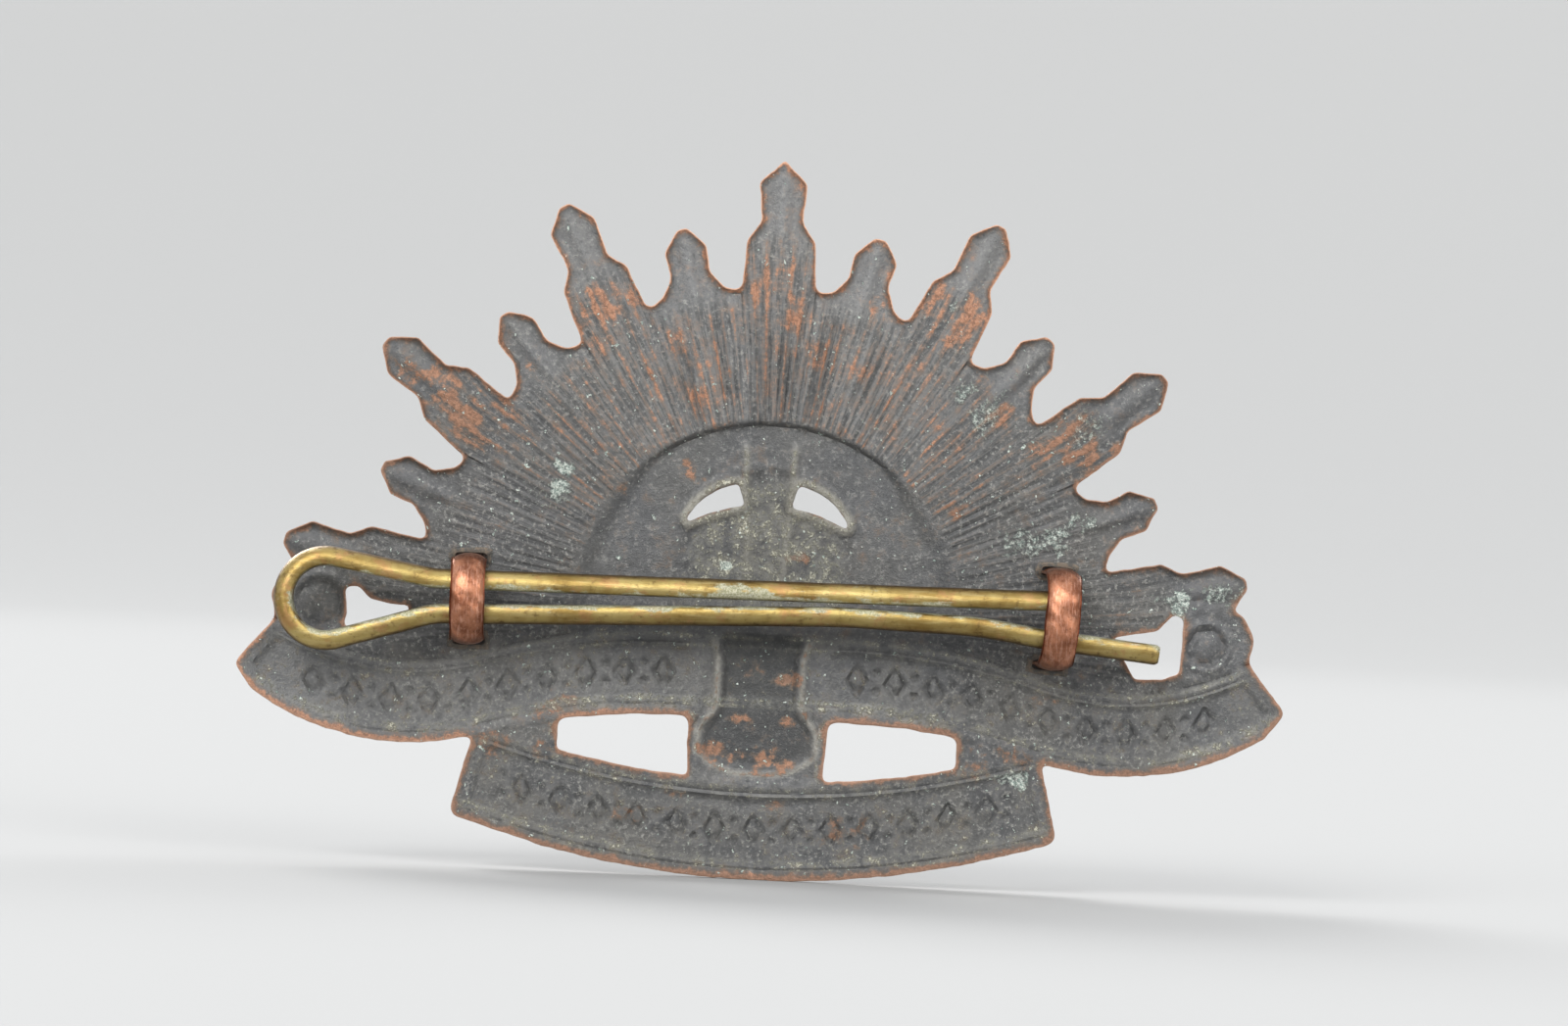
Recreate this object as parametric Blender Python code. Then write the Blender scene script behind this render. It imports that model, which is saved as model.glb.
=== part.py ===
"""Sunburst cap badge: a die-struck plate, two brazed loops and the split pin that holds it on.

Frame: millimetres in the constants, metres in the meshes.  The badge stands upright, +Z up, its
decorated front faces -Y and its back faces +Y.  The origin lies on the plane of the back rim (y = 0),
on the centre line, in the middle of the flat rim at the foot of the lower scroll.
"""
import math

import bmesh
import bpy
from mathutils.geometry import delaunay_2d_cdt

MM = 0.001

# ---- struck plate -------------------------------------------------------------------------------
SHEET = 0.9                 # metal left between the back and the front
CLOSE_POINTS = 0.09         # points nearer than this to each other become one
RELIEF_GAIN = 1.15          # the front stands out this much more than the back sinks
RAY_RIM = 0.32              # width of the bevel along the rays
SCROLL_RIM = 0.85           # width of the flat land along the scrolls
SCROLL_STEP = 0.35          # width of the step from that land into a scroll's band

FAN_Z = 13.7                # the rays point away from here
RAY_PITCH = 12.9            # degrees from one ray to the next
RAYS_A_SIDE = 6
FAN_START, FAN_CLEAR = 17.2, 1.2        # ridges start at this reach, this far above the upper scroll
LONG_REACH, LONG_LOSS = 34.1, 0.17      # reach of the top ray; each ray further out loses a little
SHORT_REACH, SHORT_LOSS = 30.2, 0.28
# Each ray's edge, from its tip inwards: distance below the tip, half width, corner radius
LONG_EDGE = ((0.0, 0.36, 0.15), (1.5, 1.58, 0.3), (4.1, 1.4, 0.4), (5.4, 2.3, 0.3))
SHORT_EDGE = ((0.0, 0.36, 0.15), (1.35, 1.45, 0.3), (3.1, 1.32, 0.4), (4.3, 2.1, 0.3))
SHOULDER_HALF = 2.0         # a corner wider than this belongs to a ray's shoulder
TIP_HALF_MIN = 0.1          # least half width left at a tip when the outline is drawn further in
VALLEY_REACH, VALLEY_LOSS = 25.4, 0.30
VALLEY_LEAN = 0.8           # degrees by which a valley sits closer to its long ray
VALLEY_RADIUS = 0.6
RIDGE_ANGLE = 3.0           # degrees from a ray's middle to the ridge on each side
RIDGE_DEPTH, FLUTE_DEPTH, HEAD_DEPTH = 0.06, 0.42, 0.3
LINE_BELOW_TIP = 2.2        # the line down a ray's middle starts this far below the tip
RIDGE_BELOW_TIP, HEAD_BLEND = 4.3, 1.2  # a ridge ends this far below the tip, over this length

SUN_Z, SUN_RADIUS, SUN_STEP = 17.05, 13.2, 0.35
SUN_DEPTH = 0.75
CROWN_Z, CROWN_HALF_WIDTH, CROWN_RISE, CROWN_FOOT_Z = 20.2, 6.2, 7.2, 17.0
CROWN_DEPTH, CROWN_STEP = 1.1, 0.5
VOID_X, VOID_SIDE = 0.9, 1.55           # centre line of a void's arcs, and its straight side
VOID_TOP_Z, VOID_TOP_RADIUS = 20.9, 5.3
VOID_FOOT_Z, VOID_FOOT_RADIUS = 16.5, 8.05
VOID_LIP, LIP_DEPTH = 0.45, 0.35        # width and depth of the raised lip round a void

# Upper scroll: its lower edge runs level, falls on a convex arc, then rises on a hollow one
SCROLL_LEVEL_Z, SCROLL_LEVEL_HALF = 10.35, 6.0
HOLLOW_X, HOLLOW_Z, HOLLOW_RADIUS, HOLLOW_END = 24.0, 25.6, 18.0, 34.0
SCROLL_HEIGHT, BORDER_WIDTH, BORDER_DEPTH = 5.6, 0.6, 0.08
STEP_UP = 0.5               # width of the step from the upper scroll up to the sun and the rays
FAN_FOOT_DEPTH, FAN_FADE = 0.16, 3.0    # the flutes fade out this far above the scroll's foot band
SCROLL_TIP_X, SCROLL_TIP_Z = 35.35, 12.35
BAND_DEPTH = 0.4
CURL_X, CURL_Z, CURL_RADIUS, CURL_STEP = 29.8, 16.6, 1.3, 0.3
CURL_DEPTH, END_DEPTH = 0.45, 0.12
# Corners of the scroll's rolled end, from its tip up to the last ray
ROLL_EDGE = ((32.65, 15.65, 0.8), (33.1, 17.2, 1.0), (32.3, 18.6, 0.7), (31.5, 19.15, 0.3))
END_X, END_TOP_Z = 23.0, 19.3           # the rolled end lies beyond and below this
ROLL_START_X = 28.5                     # its land is as wide as the scroll's from here outwards
# Corners of the opening beside the rolled end; the one on the pin's eye side is smaller
EYE_SIDE_HOLE = ((23.6, 16.7, 0.15), (26.4, 17.05, 0.5), (27.2, 17.95, 0.3), (28.15, 17.8, 0.35),
                 (27.95, 16.1, 0.8), (28.05, 15.1, 0.35), (25.0, 15.15, 0.3))
TAIL_SIDE_HOLE = ((23.5, 16.9, 0.15), (26.5, 17.5, 0.3), (27.5, 18.6, 0.3), (28.2, 18.4, 0.3),
                  (28.15, 14.7, 0.4), (27.0, 14.25, 0.5), (25.1, 14.2, 0.3))
CORNER_SHARE = 0.45         # a rounded corner takes at most this share of its shorter side
SHARP_CORNER = 0.8          # below this the corner of a widened opening is kept from running away

# Lower scroll: one wide arc
FOOT_Z, FOOT_RADIUS, FOOT_ARC_END = -0.5, 61.0, 18.9
LOWER_HEIGHT = 6.6
LOWER_END_X, LOWER_END_Z = 20.45, 2.95
NOTCH_X, NOTCH_Z = 19.1, 8.2
WINDOW_NEAR, WINDOW_FAR = 4.5, 13.4
UPPER_CREASE_END, LOWER_CREASE_END = 30.4, 17.6     # the scrolls' inner lines end here
FOLD_HALF, FOLD_STEP, FOLD_DEPTH, FOLD_FOOT = 3.3, 0.5, 0.65, 0.7
LINK_DEPTH = 0.1            # metal between the two scrolls

# ---- loops on the back --------------------------------------------------------------------------
STRIP_WIDTH, STRIP_THICK, STRIP_DOME = 2.4, 0.5, 0.12
LOOP_TOP_Y, LOOP_CORNER = 5.6, 2.35
EYE_LOOP = {"x": 19.7, "z": 17.45, "span": 5.96, "turn": 0.0, "lean": 0.0}
TAIL_LOOP = {"x": -19.4, "z": 17.985, "span": 6.73, "turn": 4.0, "lean": -0.10}
PAD_DEPTH, PAD_HALF_X, PAD_HALF_Z, PAD_BLEND = 0.12, 1.75, 0.9, 0.3
BRAZE_GAP, BRAZE_REACH, BRAZE_RISE = 0.04, 0.34, 0.5
SEAT_GAP = 0.04             # clearance under a loop's feet and under the braze

# ---- split pin ----------------------------------------------------------------------------------
WIRE_WIDTH, WIRE_DEPTH, WIRE_SIDES = 1.34, 2.1, 14
WIRE_FLAT = 0.55            # the flat cuts the round off at this share of its radius
PIN_Y = 3.15
EYE_X, EYE_Z, EYE_RADIUS = 29.2, 17.05, 2.82
NECK_X, NECK_RADIUS = 22.0, 5.0
UPPER_NECK_Z, UPPER_END_X, UPPER_END_Z = 18.7, -20.9, 19.2
LOWER_NECK_Z = 16.35
LOWER_BENDS = ((-5.2, 17.45, 60.0), (-14.5, 17.25, 25.0), (-18.6, 16.65, 20.0))
TAIL_X, TAIL_Z = -26.5, 15.93


# ---- plane geometry -----------------------------------------------------------------------------
def direction(a, b):
    length = math.hypot(b[0] - a[0], b[1] - a[1])
    return (b[0] - a[0]) / length, (b[1] - a[1]) / length


def round_corner(before, corner, after, radius, step):
    """Replace a corner by an arc of the given radius, in steps of about step degrees."""
    ax, az = direction(corner, before)
    bx, bz = direction(corner, after)
    half = 0.5 * math.acos(max(-1.0, min(1.0, ax * bx + az * bz)))
    turn = math.pi - 2.0 * half
    if radius <= 0.0 or turn < math.radians(3.0):
        return [corner[:2]]
    room = CORNER_SHARE * min(math.dist(corner[:2], before[:2]), math.dist(corner[:2], after[:2]))
    back = min(radius / math.tan(half), room)
    radius = back * math.tan(half)
    mx, mz = ax + bx, az + bz
    reach = math.hypot(back, radius) / math.hypot(mx, mz)
    cx, cz = corner[0] + mx * reach, corner[1] + mz * reach
    start = math.atan2(corner[1] + az * back - cz, corner[0] + ax * back - cx)
    sweep = math.atan2(corner[1] + bz * back - cz, corner[0] + bx * back - cx) - start
    sweep = (sweep + math.pi) % (2.0 * math.pi) - math.pi
    count = max(1, math.ceil(abs(sweep) / math.radians(step)))
    angles = [start + sweep * i / count for i in range(count + 1)]
    return [(cx + radius * math.cos(a), cz + radius * math.sin(a)) for a in angles]


def rounded(corners, closed, step=40.0):
    """Round every (x, z, radius) corner of a path."""
    path = []
    for i, corner in enumerate(corners):
        if not closed and i in (0, len(corners) - 1):
            path.append(corner[:2])
            continue
        after = corners[(i + 1) % len(corners)]
        path += round_corner(corners[i - 1], corner, after, corner[2], step)
    return path


def mirrored(path):
    return [(-x, z) for x, z in path]


def ramp(value, start, end):
    """0 at start, 1 at end, straight between."""
    return max(0.0, min(1.0, (value - start) / (end - start)))


def mix(a, b, share):
    return a + (b - a) * share


# ---- outline of the plate -----------------------------------------------------------------------
def from_fan(angle, reach):
    return reach * math.sin(math.radians(angle)), FAN_Z + reach * math.cos(math.radians(angle))


def ray_reach(k):
    return LONG_REACH - LONG_LOSS * k if k % 2 == 0 else SHORT_REACH - SHORT_LOSS * k


def ray_side(k, side, inset):
    """Corners of one side of ray k from its tip inwards; side is -1 towards the top ray, +1 away."""
    across = (math.cos(math.radians(RAY_PITCH * k)), -math.sin(math.radians(RAY_PITCH * k)))
    corners = []
    for below, half, radius in (SHORT_EDGE if k % 2 else LONG_EDGE):
        below += (1.5 if below == 0.0 else 1.0 if half > SHOULDER_HALF else 0.4) * inset
        x, z = from_fan(RAY_PITCH * k, ray_reach(k) - below)
        width = side * max(TIP_HALF_MIN, half - inset)
        corners.append((x + across[0] * width, z + across[1] * width, radius))
    return corners


def valley(j, inset):
    lean = VALLEY_LEAN if j % 2 else -VALLEY_LEAN
    x, z = from_fan(RAY_PITCH * (j + 0.5) + lean, VALLEY_REACH - VALLEY_LOSS * j - 1.1 * inset)
    return x, z, VALLEY_RADIUS


def lower_edge(x):
    return FOOT_Z + FOOT_RADIUS - math.sqrt(FOOT_RADIUS ** 2 - x * x)


def convex_radius():
    """Radius of the arc that leaves the level stretch and touches the hollow arc."""
    run, rise = HOLLOW_X - SCROLL_LEVEL_HALF, HOLLOW_Z - SCROLL_LEVEL_Z
    return (run ** 2 + rise ** 2 - HOLLOW_RADIUS ** 2) / (2.0 * (HOLLOW_RADIUS - rise))


def scroll_edge(x):
    """Lower edge of the upper scroll."""
    x = abs(x)
    radius = convex_radius()
    if x < SCROLL_LEVEL_HALF:
        return SCROLL_LEVEL_Z
    if x < mix(SCROLL_LEVEL_HALF, HOLLOW_X, radius / (radius + HOLLOW_RADIUS)):
        return SCROLL_LEVEL_Z - radius + math.sqrt(radius ** 2 - (x - SCROLL_LEVEL_HALF) ** 2)
    return HOLLOW_Z - math.sqrt(max(0.0, HOLLOW_RADIUS ** 2 - (x - HOLLOW_X) ** 2))


def steps(start, end, count):
    return [mix(start, end, i / count) for i in range(count + 1)]


def half_outline(ray_inset, scroll_inset):
    """Corners of the outline at x >= 0, from the foot of the badge round to the top ray."""
    i = scroll_inset
    corners = [(x, lower_edge(x) + i, 0.0) for x in steps(0.0, FOOT_ARC_END - i, 12)]
    corners.append((LOWER_END_X - i, LOWER_END_Z + 0.9 * i, 0.7))
    corners.append((NOTCH_X - 1.1 * i, NOTCH_Z + 0.4 * i, 0.3))
    corners += [(x, scroll_edge(x) + i, 0.0) for x in steps(NOTCH_X + 0.9, HOLLOW_END - i, 11)]
    corners.append((SCROLL_TIP_X - 1.25 * i, SCROLL_TIP_Z + 0.1 * i, 0.5))
    corners += [(x - i, z, radius) for x, z, radius in ROLL_EDGE]
    for k in range(RAYS_A_SIDE, -1, -1):
        outer = ray_side(k, 1, ray_inset)
        inner = ray_side(k, -1, ray_inset)
        if k == RAYS_A_SIDE:
            corners.append(outer[0])
        elif k > 0:
            corners += outer[::-1]
        else:
            outer[0] = (0.0,) + outer[0][1:]
            return corners + outer[::-1]
        corners += inner
        corners.append(valley(k - 1, ray_inset))
    return corners


def outline(ray_inset=0.0, scroll_inset=0.0):
    right = rounded(half_outline(ray_inset, scroll_inset), closed=False)
    return right + mirrored(right[-2:0:-1])


# ---- openings on the x > 0 side -----------------------------------------------------------------
def window(grow=0.0):
    """Opening between the scrolls, beside the middle fold."""
    near, far = WINDOW_NEAR - grow, WINDOW_FAR + grow
    floor = [(x, lower_edge(x) + LOWER_HEIGHT - grow, 0.3) for x in steps(near, far, 5)]
    roof = [(x, scroll_edge(x) - 0.05 + grow, 0.5) for x in steps(far, near + 0.2, 6)]
    return rounded(floor + roof + [(near + 0.15, 8.3, 0.8)], closed=True)


def arc(cx, cz, radius, start_x, end_x, count):
    xs = steps(start_x, end_x, count)
    return [(x, cz + math.sqrt(radius ** 2 - (x - cx) ** 2)) for x in xs]


def crown_void(grow=0.0):
    """Crescent opening beside the crown's middle band."""
    far = VOID_X + 4.55 + 0.9 * grow
    near = VOID_SIDE - grow
    roof = arc(VOID_X, VOID_TOP_Z, VOID_TOP_RADIUS + grow, near + 0.5, far, 5)
    floor = arc(VOID_X, VOID_FOOT_Z, VOID_FOOT_RADIUS - grow, far - 0.1, near, 5)
    corners = [(x, z, 0.25) for x, z in roof + floor]
    return rounded(corners, closed=True)


def end_hole(corners, grow):
    """Opening between the last ray, the scroll and its curl, widened by grow all round."""
    moved = []
    for i, (x, z, radius) in enumerate(corners):
        ax, az = direction(corners[i - 1][:2], (x, z))
        bx, bz = direction((x, z), corners[(i + 1) % len(corners)][:2])
        share = grow / max(SHARP_CORNER, 1.0 + ax * bx + az * bz)
        moved.append((x - (az + bz) * share, z + (ax + bx) * share, radius))
    return rounded(moved, closed=True)


def openings(grow=0.0):
    paired = [window(grow), crown_void(grow)]
    holes = [end_hole(EYE_SIDE_HOLE, grow), mirrored(end_hole(TAIL_SIDE_HOLE, grow))]
    return paired + [mirrored(loop) for loop in paired] + holes


# ---- depth of the back below the rim ------------------------------------------------------------
def feet(loop):
    """Centres of a loop's two feet."""
    reach = 0.5 * (loop["span"] - STRIP_THICK)
    turn = math.radians(loop["turn"])
    return [(loop["x"] - s * reach * math.sin(turn), loop["z"] + s * reach * math.cos(turn))
            for s in (1.0, -1.0)]


def pad_distance(x, z, loop, foot):
    """How far a point lies outside the flat pad under a foot; negative inside."""
    turn = math.radians(loop["turn"])
    dx, dz = x - foot[0], z - foot[1]
    along = dx * math.cos(turn) + dz * math.sin(turn)
    up = -dx * math.sin(turn) + dz * math.cos(turn)
    return max(abs(along) - PAD_HALF_X, abs(up) - PAD_HALF_Z)


def flute_depth(x, z):
    """Ridges and flutes that fan out along the rays."""
    angle = math.degrees(math.atan2(abs(x), z - FAN_Z))
    reach = math.hypot(x, z - FAN_Z)
    k = min(RAYS_A_SIDE, round(angle / RAY_PITCH))
    off = abs(angle - RAY_PITCH * k)
    half = 0.5 * RAY_PITCH + (VALLEY_LEAN if k % 2 else -VALLEY_LEAN)
    if off < RIDGE_ANGLE:
        wave = mix(FLUTE_DEPTH, RIDGE_DEPTH, off / RIDGE_ANGLE)
    else:
        wave = mix(RIDGE_DEPTH, FLUTE_DEPTH, ramp(off, RIDGE_ANGLE, half))
    head_end = ray_reach(k) - RIDGE_BELOW_TIP
    return mix(wave, HEAD_DEPTH, ramp(reach, head_end - HEAD_BLEND, head_end))


def crown_distance(x, z):
    """Distance from the crown's edge, positive inside."""
    if z < CROWN_Z:
        return min(CROWN_HALF_WIDTH - abs(x), z - CROWN_FOOT_Z)
    reach = math.hypot(x / CROWN_HALF_WIDTH, (z - CROWN_Z) / CROWN_RISE)
    return (1.0 - reach) * CROWN_HALF_WIDTH


def sun_depth(x, z):
    """How far a point is into the sun's disc, 0 to 1, and the depth there."""
    share = ramp(SUN_RADIUS - math.hypot(x, z - SUN_Z), 0.0, SUN_STEP)
    crown = ramp(crown_distance(x, z), 0.0, CROWN_STEP)
    return share, mix(SUN_DEPTH, CROWN_DEPTH, crown)


def fold_depth(x):
    return mix(FOLD_DEPTH, 0.5 * BAND_DEPTH, ramp(abs(x), FOLD_HALF - FOLD_STEP, FOLD_HALF))


def on_rolled_end(x, z):
    return abs(x) > END_X and z < END_TOP_Z


def field_depth(x, z):
    """Depth at a point, before the rim along the edges is added."""
    up = z - scroll_edge(x)
    low = z - lower_edge(x)
    if low < LOWER_HEIGHT:
        border = ramp(low, LOWER_HEIGHT - SCROLL_RIM, LOWER_HEIGHT - SCROLL_RIM - SCROLL_STEP)
        return mix(BORDER_DEPTH, BAND_DEPTH, border)
    if abs(x) < WINDOW_NEAR and up < SCROLL_HEIGHT:
        return fold_depth(x) * ramp(low, LOWER_HEIGHT, LOWER_HEIGHT + FOLD_FOOT)
    if up < 0.0:
        return LINK_DEPTH
    if up < SCROLL_HEIGHT:
        border = ramp(up, SCROLL_HEIGHT - BORDER_WIDTH, SCROLL_HEIGHT - BORDER_WIDTH - SCROLL_STEP)
        return mix(BORDER_DEPTH, BAND_DEPTH, border)
    above = ramp(up, SCROLL_HEIGHT, SCROLL_HEIGHT + STEP_UP)
    share, sun = sun_depth(x, z)
    fluted = ramp(up, SCROLL_HEIGHT + STEP_UP, SCROLL_HEIGHT + FAN_FADE)
    fan = mix(FAN_FOOT_DEPTH, flute_depth(x, z), fluted)
    if on_rolled_end(x, z):
        curl = math.hypot(abs(x) - CURL_X, z - CURL_Z)
        fan = mix(CURL_DEPTH, END_DEPTH, ramp(curl, CURL_RADIUS, CURL_RADIUS + CURL_STEP))
    return mix(BORDER_DEPTH, mix(fan, sun, share), above)


def nearest_edge(x, z, loops):
    """Distance to the nearest edge of the metal."""
    best = 1e9
    for loop in loops:
        for i, (bx, bz) in enumerate(loop):
            ax, az = loop[i - 1]
            ex, ez = bx - ax, bz - az
            share = max(0.0, min(1.0, ((x - ax) * ex + (z - az) * ez) / (ex * ex + ez * ez)))
            best = min(best, math.hypot(x - ax - share * ex, z - az - share * ez))
    return best


def back_depth(x, z, rims, lips):
    """Depth of the back surface below the rim plane."""
    depth = field_depth(x, z)
    rim = nearest_edge(x, z, rims)
    on_scroll = z - scroll_edge(x) < SCROLL_HEIGHT or (abs(x) > ROLL_START_X and z < END_TOP_Z)
    if on_scroll:
        depth *= ramp(rim, SCROLL_RIM, SCROLL_RIM + SCROLL_STEP)
    else:
        depth *= ramp(rim, 0.0, RAY_RIM)
    lip = nearest_edge(x, z, lips)
    if lip < VOID_LIP:
        depth = mix(LIP_DEPTH, depth, ramp(lip, 0.0, VOID_LIP))
    for loop in (EYE_LOOP, TAIL_LOOP):
        for foot in feet(loop):
            away = pad_distance(x, z, loop, foot)
            depth = mix(PAD_DEPTH, depth, ramp(away, 0.0, PAD_BLEND))
    return depth


# ---- creases that the triangles follow ----------------------------------------------------------
def fan_creases():
    """A line down each ray, its two ridges, and a line down from each valley."""
    lines = []
    for k in range(-RAYS_A_SIDE, RAYS_A_SIDE + 1):
        reach = ray_reach(abs(k))
        lines.append([from_fan(RAY_PITCH * k, r) for r in steps(FAN_START, reach - LINE_BELOW_TIP, 2)])
        for side in (-1, 1):
            angle = RAY_PITCH * k + side * RIDGE_ANGLE
            if abs(angle) < RAY_PITCH * RAYS_A_SIDE:
                end = reach - RIDGE_BELOW_TIP - HEAD_BLEND
                lines.append([from_fan(angle, r) for r in steps(FAN_START, end, 2)])
    for j in range(RAYS_A_SIDE):
        lean = VALLEY_LEAN if j % 2 else -VALLEY_LEAN
        angle = RAY_PITCH * (j + 0.5) + lean
        foot = VALLEY_REACH - VALLEY_LOSS * j - 1.2
        for side in (-1, 1):
            lines.append([from_fan(side * angle, r) for r in steps(FAN_START, foot, 2)])
    return [line for line in lines if line[0][1] > scroll_edge(line[0][0]) + SCROLL_HEIGHT + FAN_CLEAR]


def sun_creases():
    lines = []
    for radius in (SUN_RADIUS, SUN_RADIUS - SUN_STEP):
        angles = steps(-88.0, 88.0, 30)
        lines.append([(radius * math.sin(math.radians(a)), SUN_Z + radius * math.cos(math.radians(a)))
                      for a in angles])
    for inset in (0.0, CROWN_STEP):
        share = 1.0 - inset / CROWN_HALF_WIDTH
        angles = steps(-90.0, 90.0, 14)
        lines.append([(CROWN_HALF_WIDTH * share * math.sin(math.radians(a)),
                       CROWN_Z + CROWN_RISE * share * math.cos(math.radians(a))) for a in angles])
        for side in (-1, 1):
            x = side * (CROWN_HALF_WIDTH - inset)
            lines.append([(x, CROWN_Z), (x, CROWN_FOOT_Z + inset)])
        lines.append([(-CROWN_HALF_WIDTH + inset, CROWN_FOOT_Z + inset),
                      (CROWN_HALF_WIDTH - inset, CROWN_FOOT_Z + inset)])
    return lines


def scroll_creases():
    lines = []
    land = SCROLL_HEIGHT - BORDER_WIDTH
    for height in (land - SCROLL_STEP, land, SCROLL_HEIGHT, SCROLL_HEIGHT + STEP_UP):
        half = [(x, scroll_edge(x) + height) for x in steps(WINDOW_NEAR, UPPER_CREASE_END, 15)]
        lines += [half, mirrored(half)]
    land = LOWER_HEIGHT - SCROLL_RIM
    for height, end in ((land - SCROLL_STEP, LOWER_CREASE_END), (land, LOWER_CREASE_END),
                        (LOWER_HEIGHT, NOTCH_X - 0.7)):
        lines.append([(x, lower_edge(x) + height) for x in steps(-end, end, 16)])
    for x in (FOLD_HALF, FOLD_HALF - FOLD_STEP, WINDOW_NEAR):
        top = SCROLL_LEVEL_Z + SCROLL_HEIGHT
        line = [(x, lower_edge(x) + LOWER_HEIGHT + FOLD_FOOT), (x, top)]
        lines += [line, mirrored(line)]
    return lines


def ring(cx, cz, radius, count):
    angles = [2.0 * math.pi * i / count for i in range(count)]
    loop = [(cx + radius * math.cos(a), cz + radius * math.sin(a)) for a in angles]
    return loop + loop[:1]


def pad_creases():
    lines = []
    for loop in (EYE_LOOP, TAIL_LOOP):
        turn = math.radians(loop["turn"])
        for fx, fz in feet(loop):
            for grow in (0.0, PAD_BLEND):
                corners = [(sx * (PAD_HALF_X + grow), sz * (PAD_HALF_Z + grow))
                           for sx, sz in ((1, 1), (-1, 1), (-1, -1), (1, -1), (1, 1))]
                lines.append([(fx + a * math.cos(turn) - b * math.sin(turn),
                               fz + a * math.sin(turn) + b * math.cos(turn)) for a, b in corners])
    return lines


def creases():
    lines = fan_creases() + sun_creases() + scroll_creases() + pad_creases()
    lines.append(outline(RAY_RIM, SCROLL_RIM))
    lines.append(outline(RAY_RIM * 1.6, SCROLL_RIM + SCROLL_STEP))
    lines += [loop + loop[:1] for loop in openings(VOID_LIP)]
    for side in (-1, 1):
        lines += [ring(side * CURL_X, CURL_Z, CURL_RADIUS + grow, 12) for grow in (0.0, CURL_STEP)]
    return lines


def inside(point, loop):
    """Whether a point lies inside a closed loop."""
    hit = False
    for i, (bx, bz) in enumerate(loop):
        ax, az = loop[i - 1]
        if (az > point[1]) != (bz > point[1]):
            if point[0] < ax + (point[1] - az) * (bx - ax) / (bz - az):
                hit = not hit
    return hit


# ---- solids -------------------------------------------------------------------------------------
def material(name, colour, roughness, metallic):
    made = bpy.data.materials.new(name)
    made.use_nodes = True
    shader = made.node_tree.nodes["Principled BSDF"]
    shader.inputs["Base Color"].default_value = (*colour, 1.0)
    shader.inputs["Roughness"].default_value = roughness
    shader.inputs["Metallic"].default_value = metallic
    return made


def finish(bm, name, look, sharp=35.0, origin=(0.0, 0.0, 0.0)):
    """Turn a millimetre bmesh into a named object in metres with its origin at the given place."""
    bmesh.ops.recalc_face_normals(bm, faces=bm.faces[:])
    for vert in bm.verts:
        vert.co = [(c - o) * MM for c, o in zip(vert.co, origin)]
    mesh = bpy.data.meshes.new(name)
    bm.to_mesh(mesh)
    bm.free()
    mesh.materials.append(look)
    mesh.shade_smooth()
    mesh.set_sharp_from_angle(angle=math.radians(sharp))
    made = bpy.data.objects.new(name, mesh)
    made.location = [o * MM for o in origin]
    bpy.context.scene.collection.objects.link(made)
    return made


def plate(look):
    """Triangulate the outline with its creases, sink the back, and give it a front and edges."""
    rims = [outline()] + [loop for loop in openings() if loop not in lip_loops()]
    lips = lip_loops()
    points, edges = [], []
    for path, closed in [(loop, True) for loop in rims + lips] + [(line, False) for line in creases()]:
        first = len(points)
        points += path
        edges += [(first + i, first + i + 1) for i in range(len(path) - 1)]
        if closed:
            edges.append((len(points) - 1, first))
    found = delaunay_2d_cdt(points, edges, [], 0, 1e-5)
    bm = bmesh.new()
    verts = [bm.verts.new((co[0], 0.0, co[1])) for co in found[0]]
    for face in found[2]:
        middle = [sum(found[0][i][axis] for i in face) / 3.0 for axis in (0, 1)]
        if inside(middle, rims[0]) and not any(inside(middle, loop) for loop in rims[1:] + lips):
            bm.faces.new([verts[i] for i in face])
    bmesh.ops.remove_doubles(bm, verts=bm.verts[:], dist=CLOSE_POINTS)
    loose = [vert for vert in bm.verts if not vert.link_faces]
    bmesh.ops.delete(bm, geom=loose, context="VERTS")
    depths = {vert: back_depth(vert.co.x, vert.co.z, rims, lips) for vert in bm.verts}
    back = list(depths)
    front = {vert: bm.verts.new((vert.co.x, -SHEET - RELIEF_GAIN * depths[vert], vert.co.z))
             for vert in back}
    faces = bm.faces[:]
    open_edges = [edge for edge in bm.edges if edge.is_boundary]
    for face in faces:
        bm.faces.new([front[vert] for vert in reversed(face.verts)])
    for edge in open_edges:
        a, b = edge.verts
        bm.faces.new([a, b, front[b], front[a]])
    for vert in back:
        vert.co.y = -depths[vert]
    bmesh.ops.triangulate(bm, faces=bm.faces[:])
    return finish(bm, "badge_plate", look, sharp=25.0)


def lip_loops():
    void = crown_void()
    return [void, mirrored(void)]


def sweep(bm, sections):
    """Skin a row of equal closed sections and cap both ends."""
    rings = [[bm.verts.new(co) for co in section] for section in sections]
    count = len(rings[0])
    for near, far in zip(rings, rings[1:]):
        for i in range(count):
            j = (i + 1) % count
            bm.faces.new([near[i], near[j], far[j], far[i]])
    bm.faces.new(rings[0][::-1])
    bm.faces.new(rings[-1])


def normals(path):
    """Unit normals of an open path, to its left."""
    found = []
    for i in range(len(path)):
        dx, dz = direction(path[max(0, i - 1)], path[min(len(path) - 1, i + 1)])
        found.append((-dz, dx))
    return found


def loop_path(loop):
    """Middle line of a loop's strip, in (up, y): foot, corner, corner, foot."""
    reach = 0.5 * (loop["span"] - STRIP_THICK)
    foot = -PAD_DEPTH + SEAT_GAP
    top = LOOP_TOP_Y - 0.5 * STRIP_THICK
    corners = [(reach, foot, 0.0), (reach, top, LOOP_CORNER),
               (-reach, top, LOOP_CORNER), (-reach, foot, 0.0)]
    return rounded(corners, closed=False, step=13.0)


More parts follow.
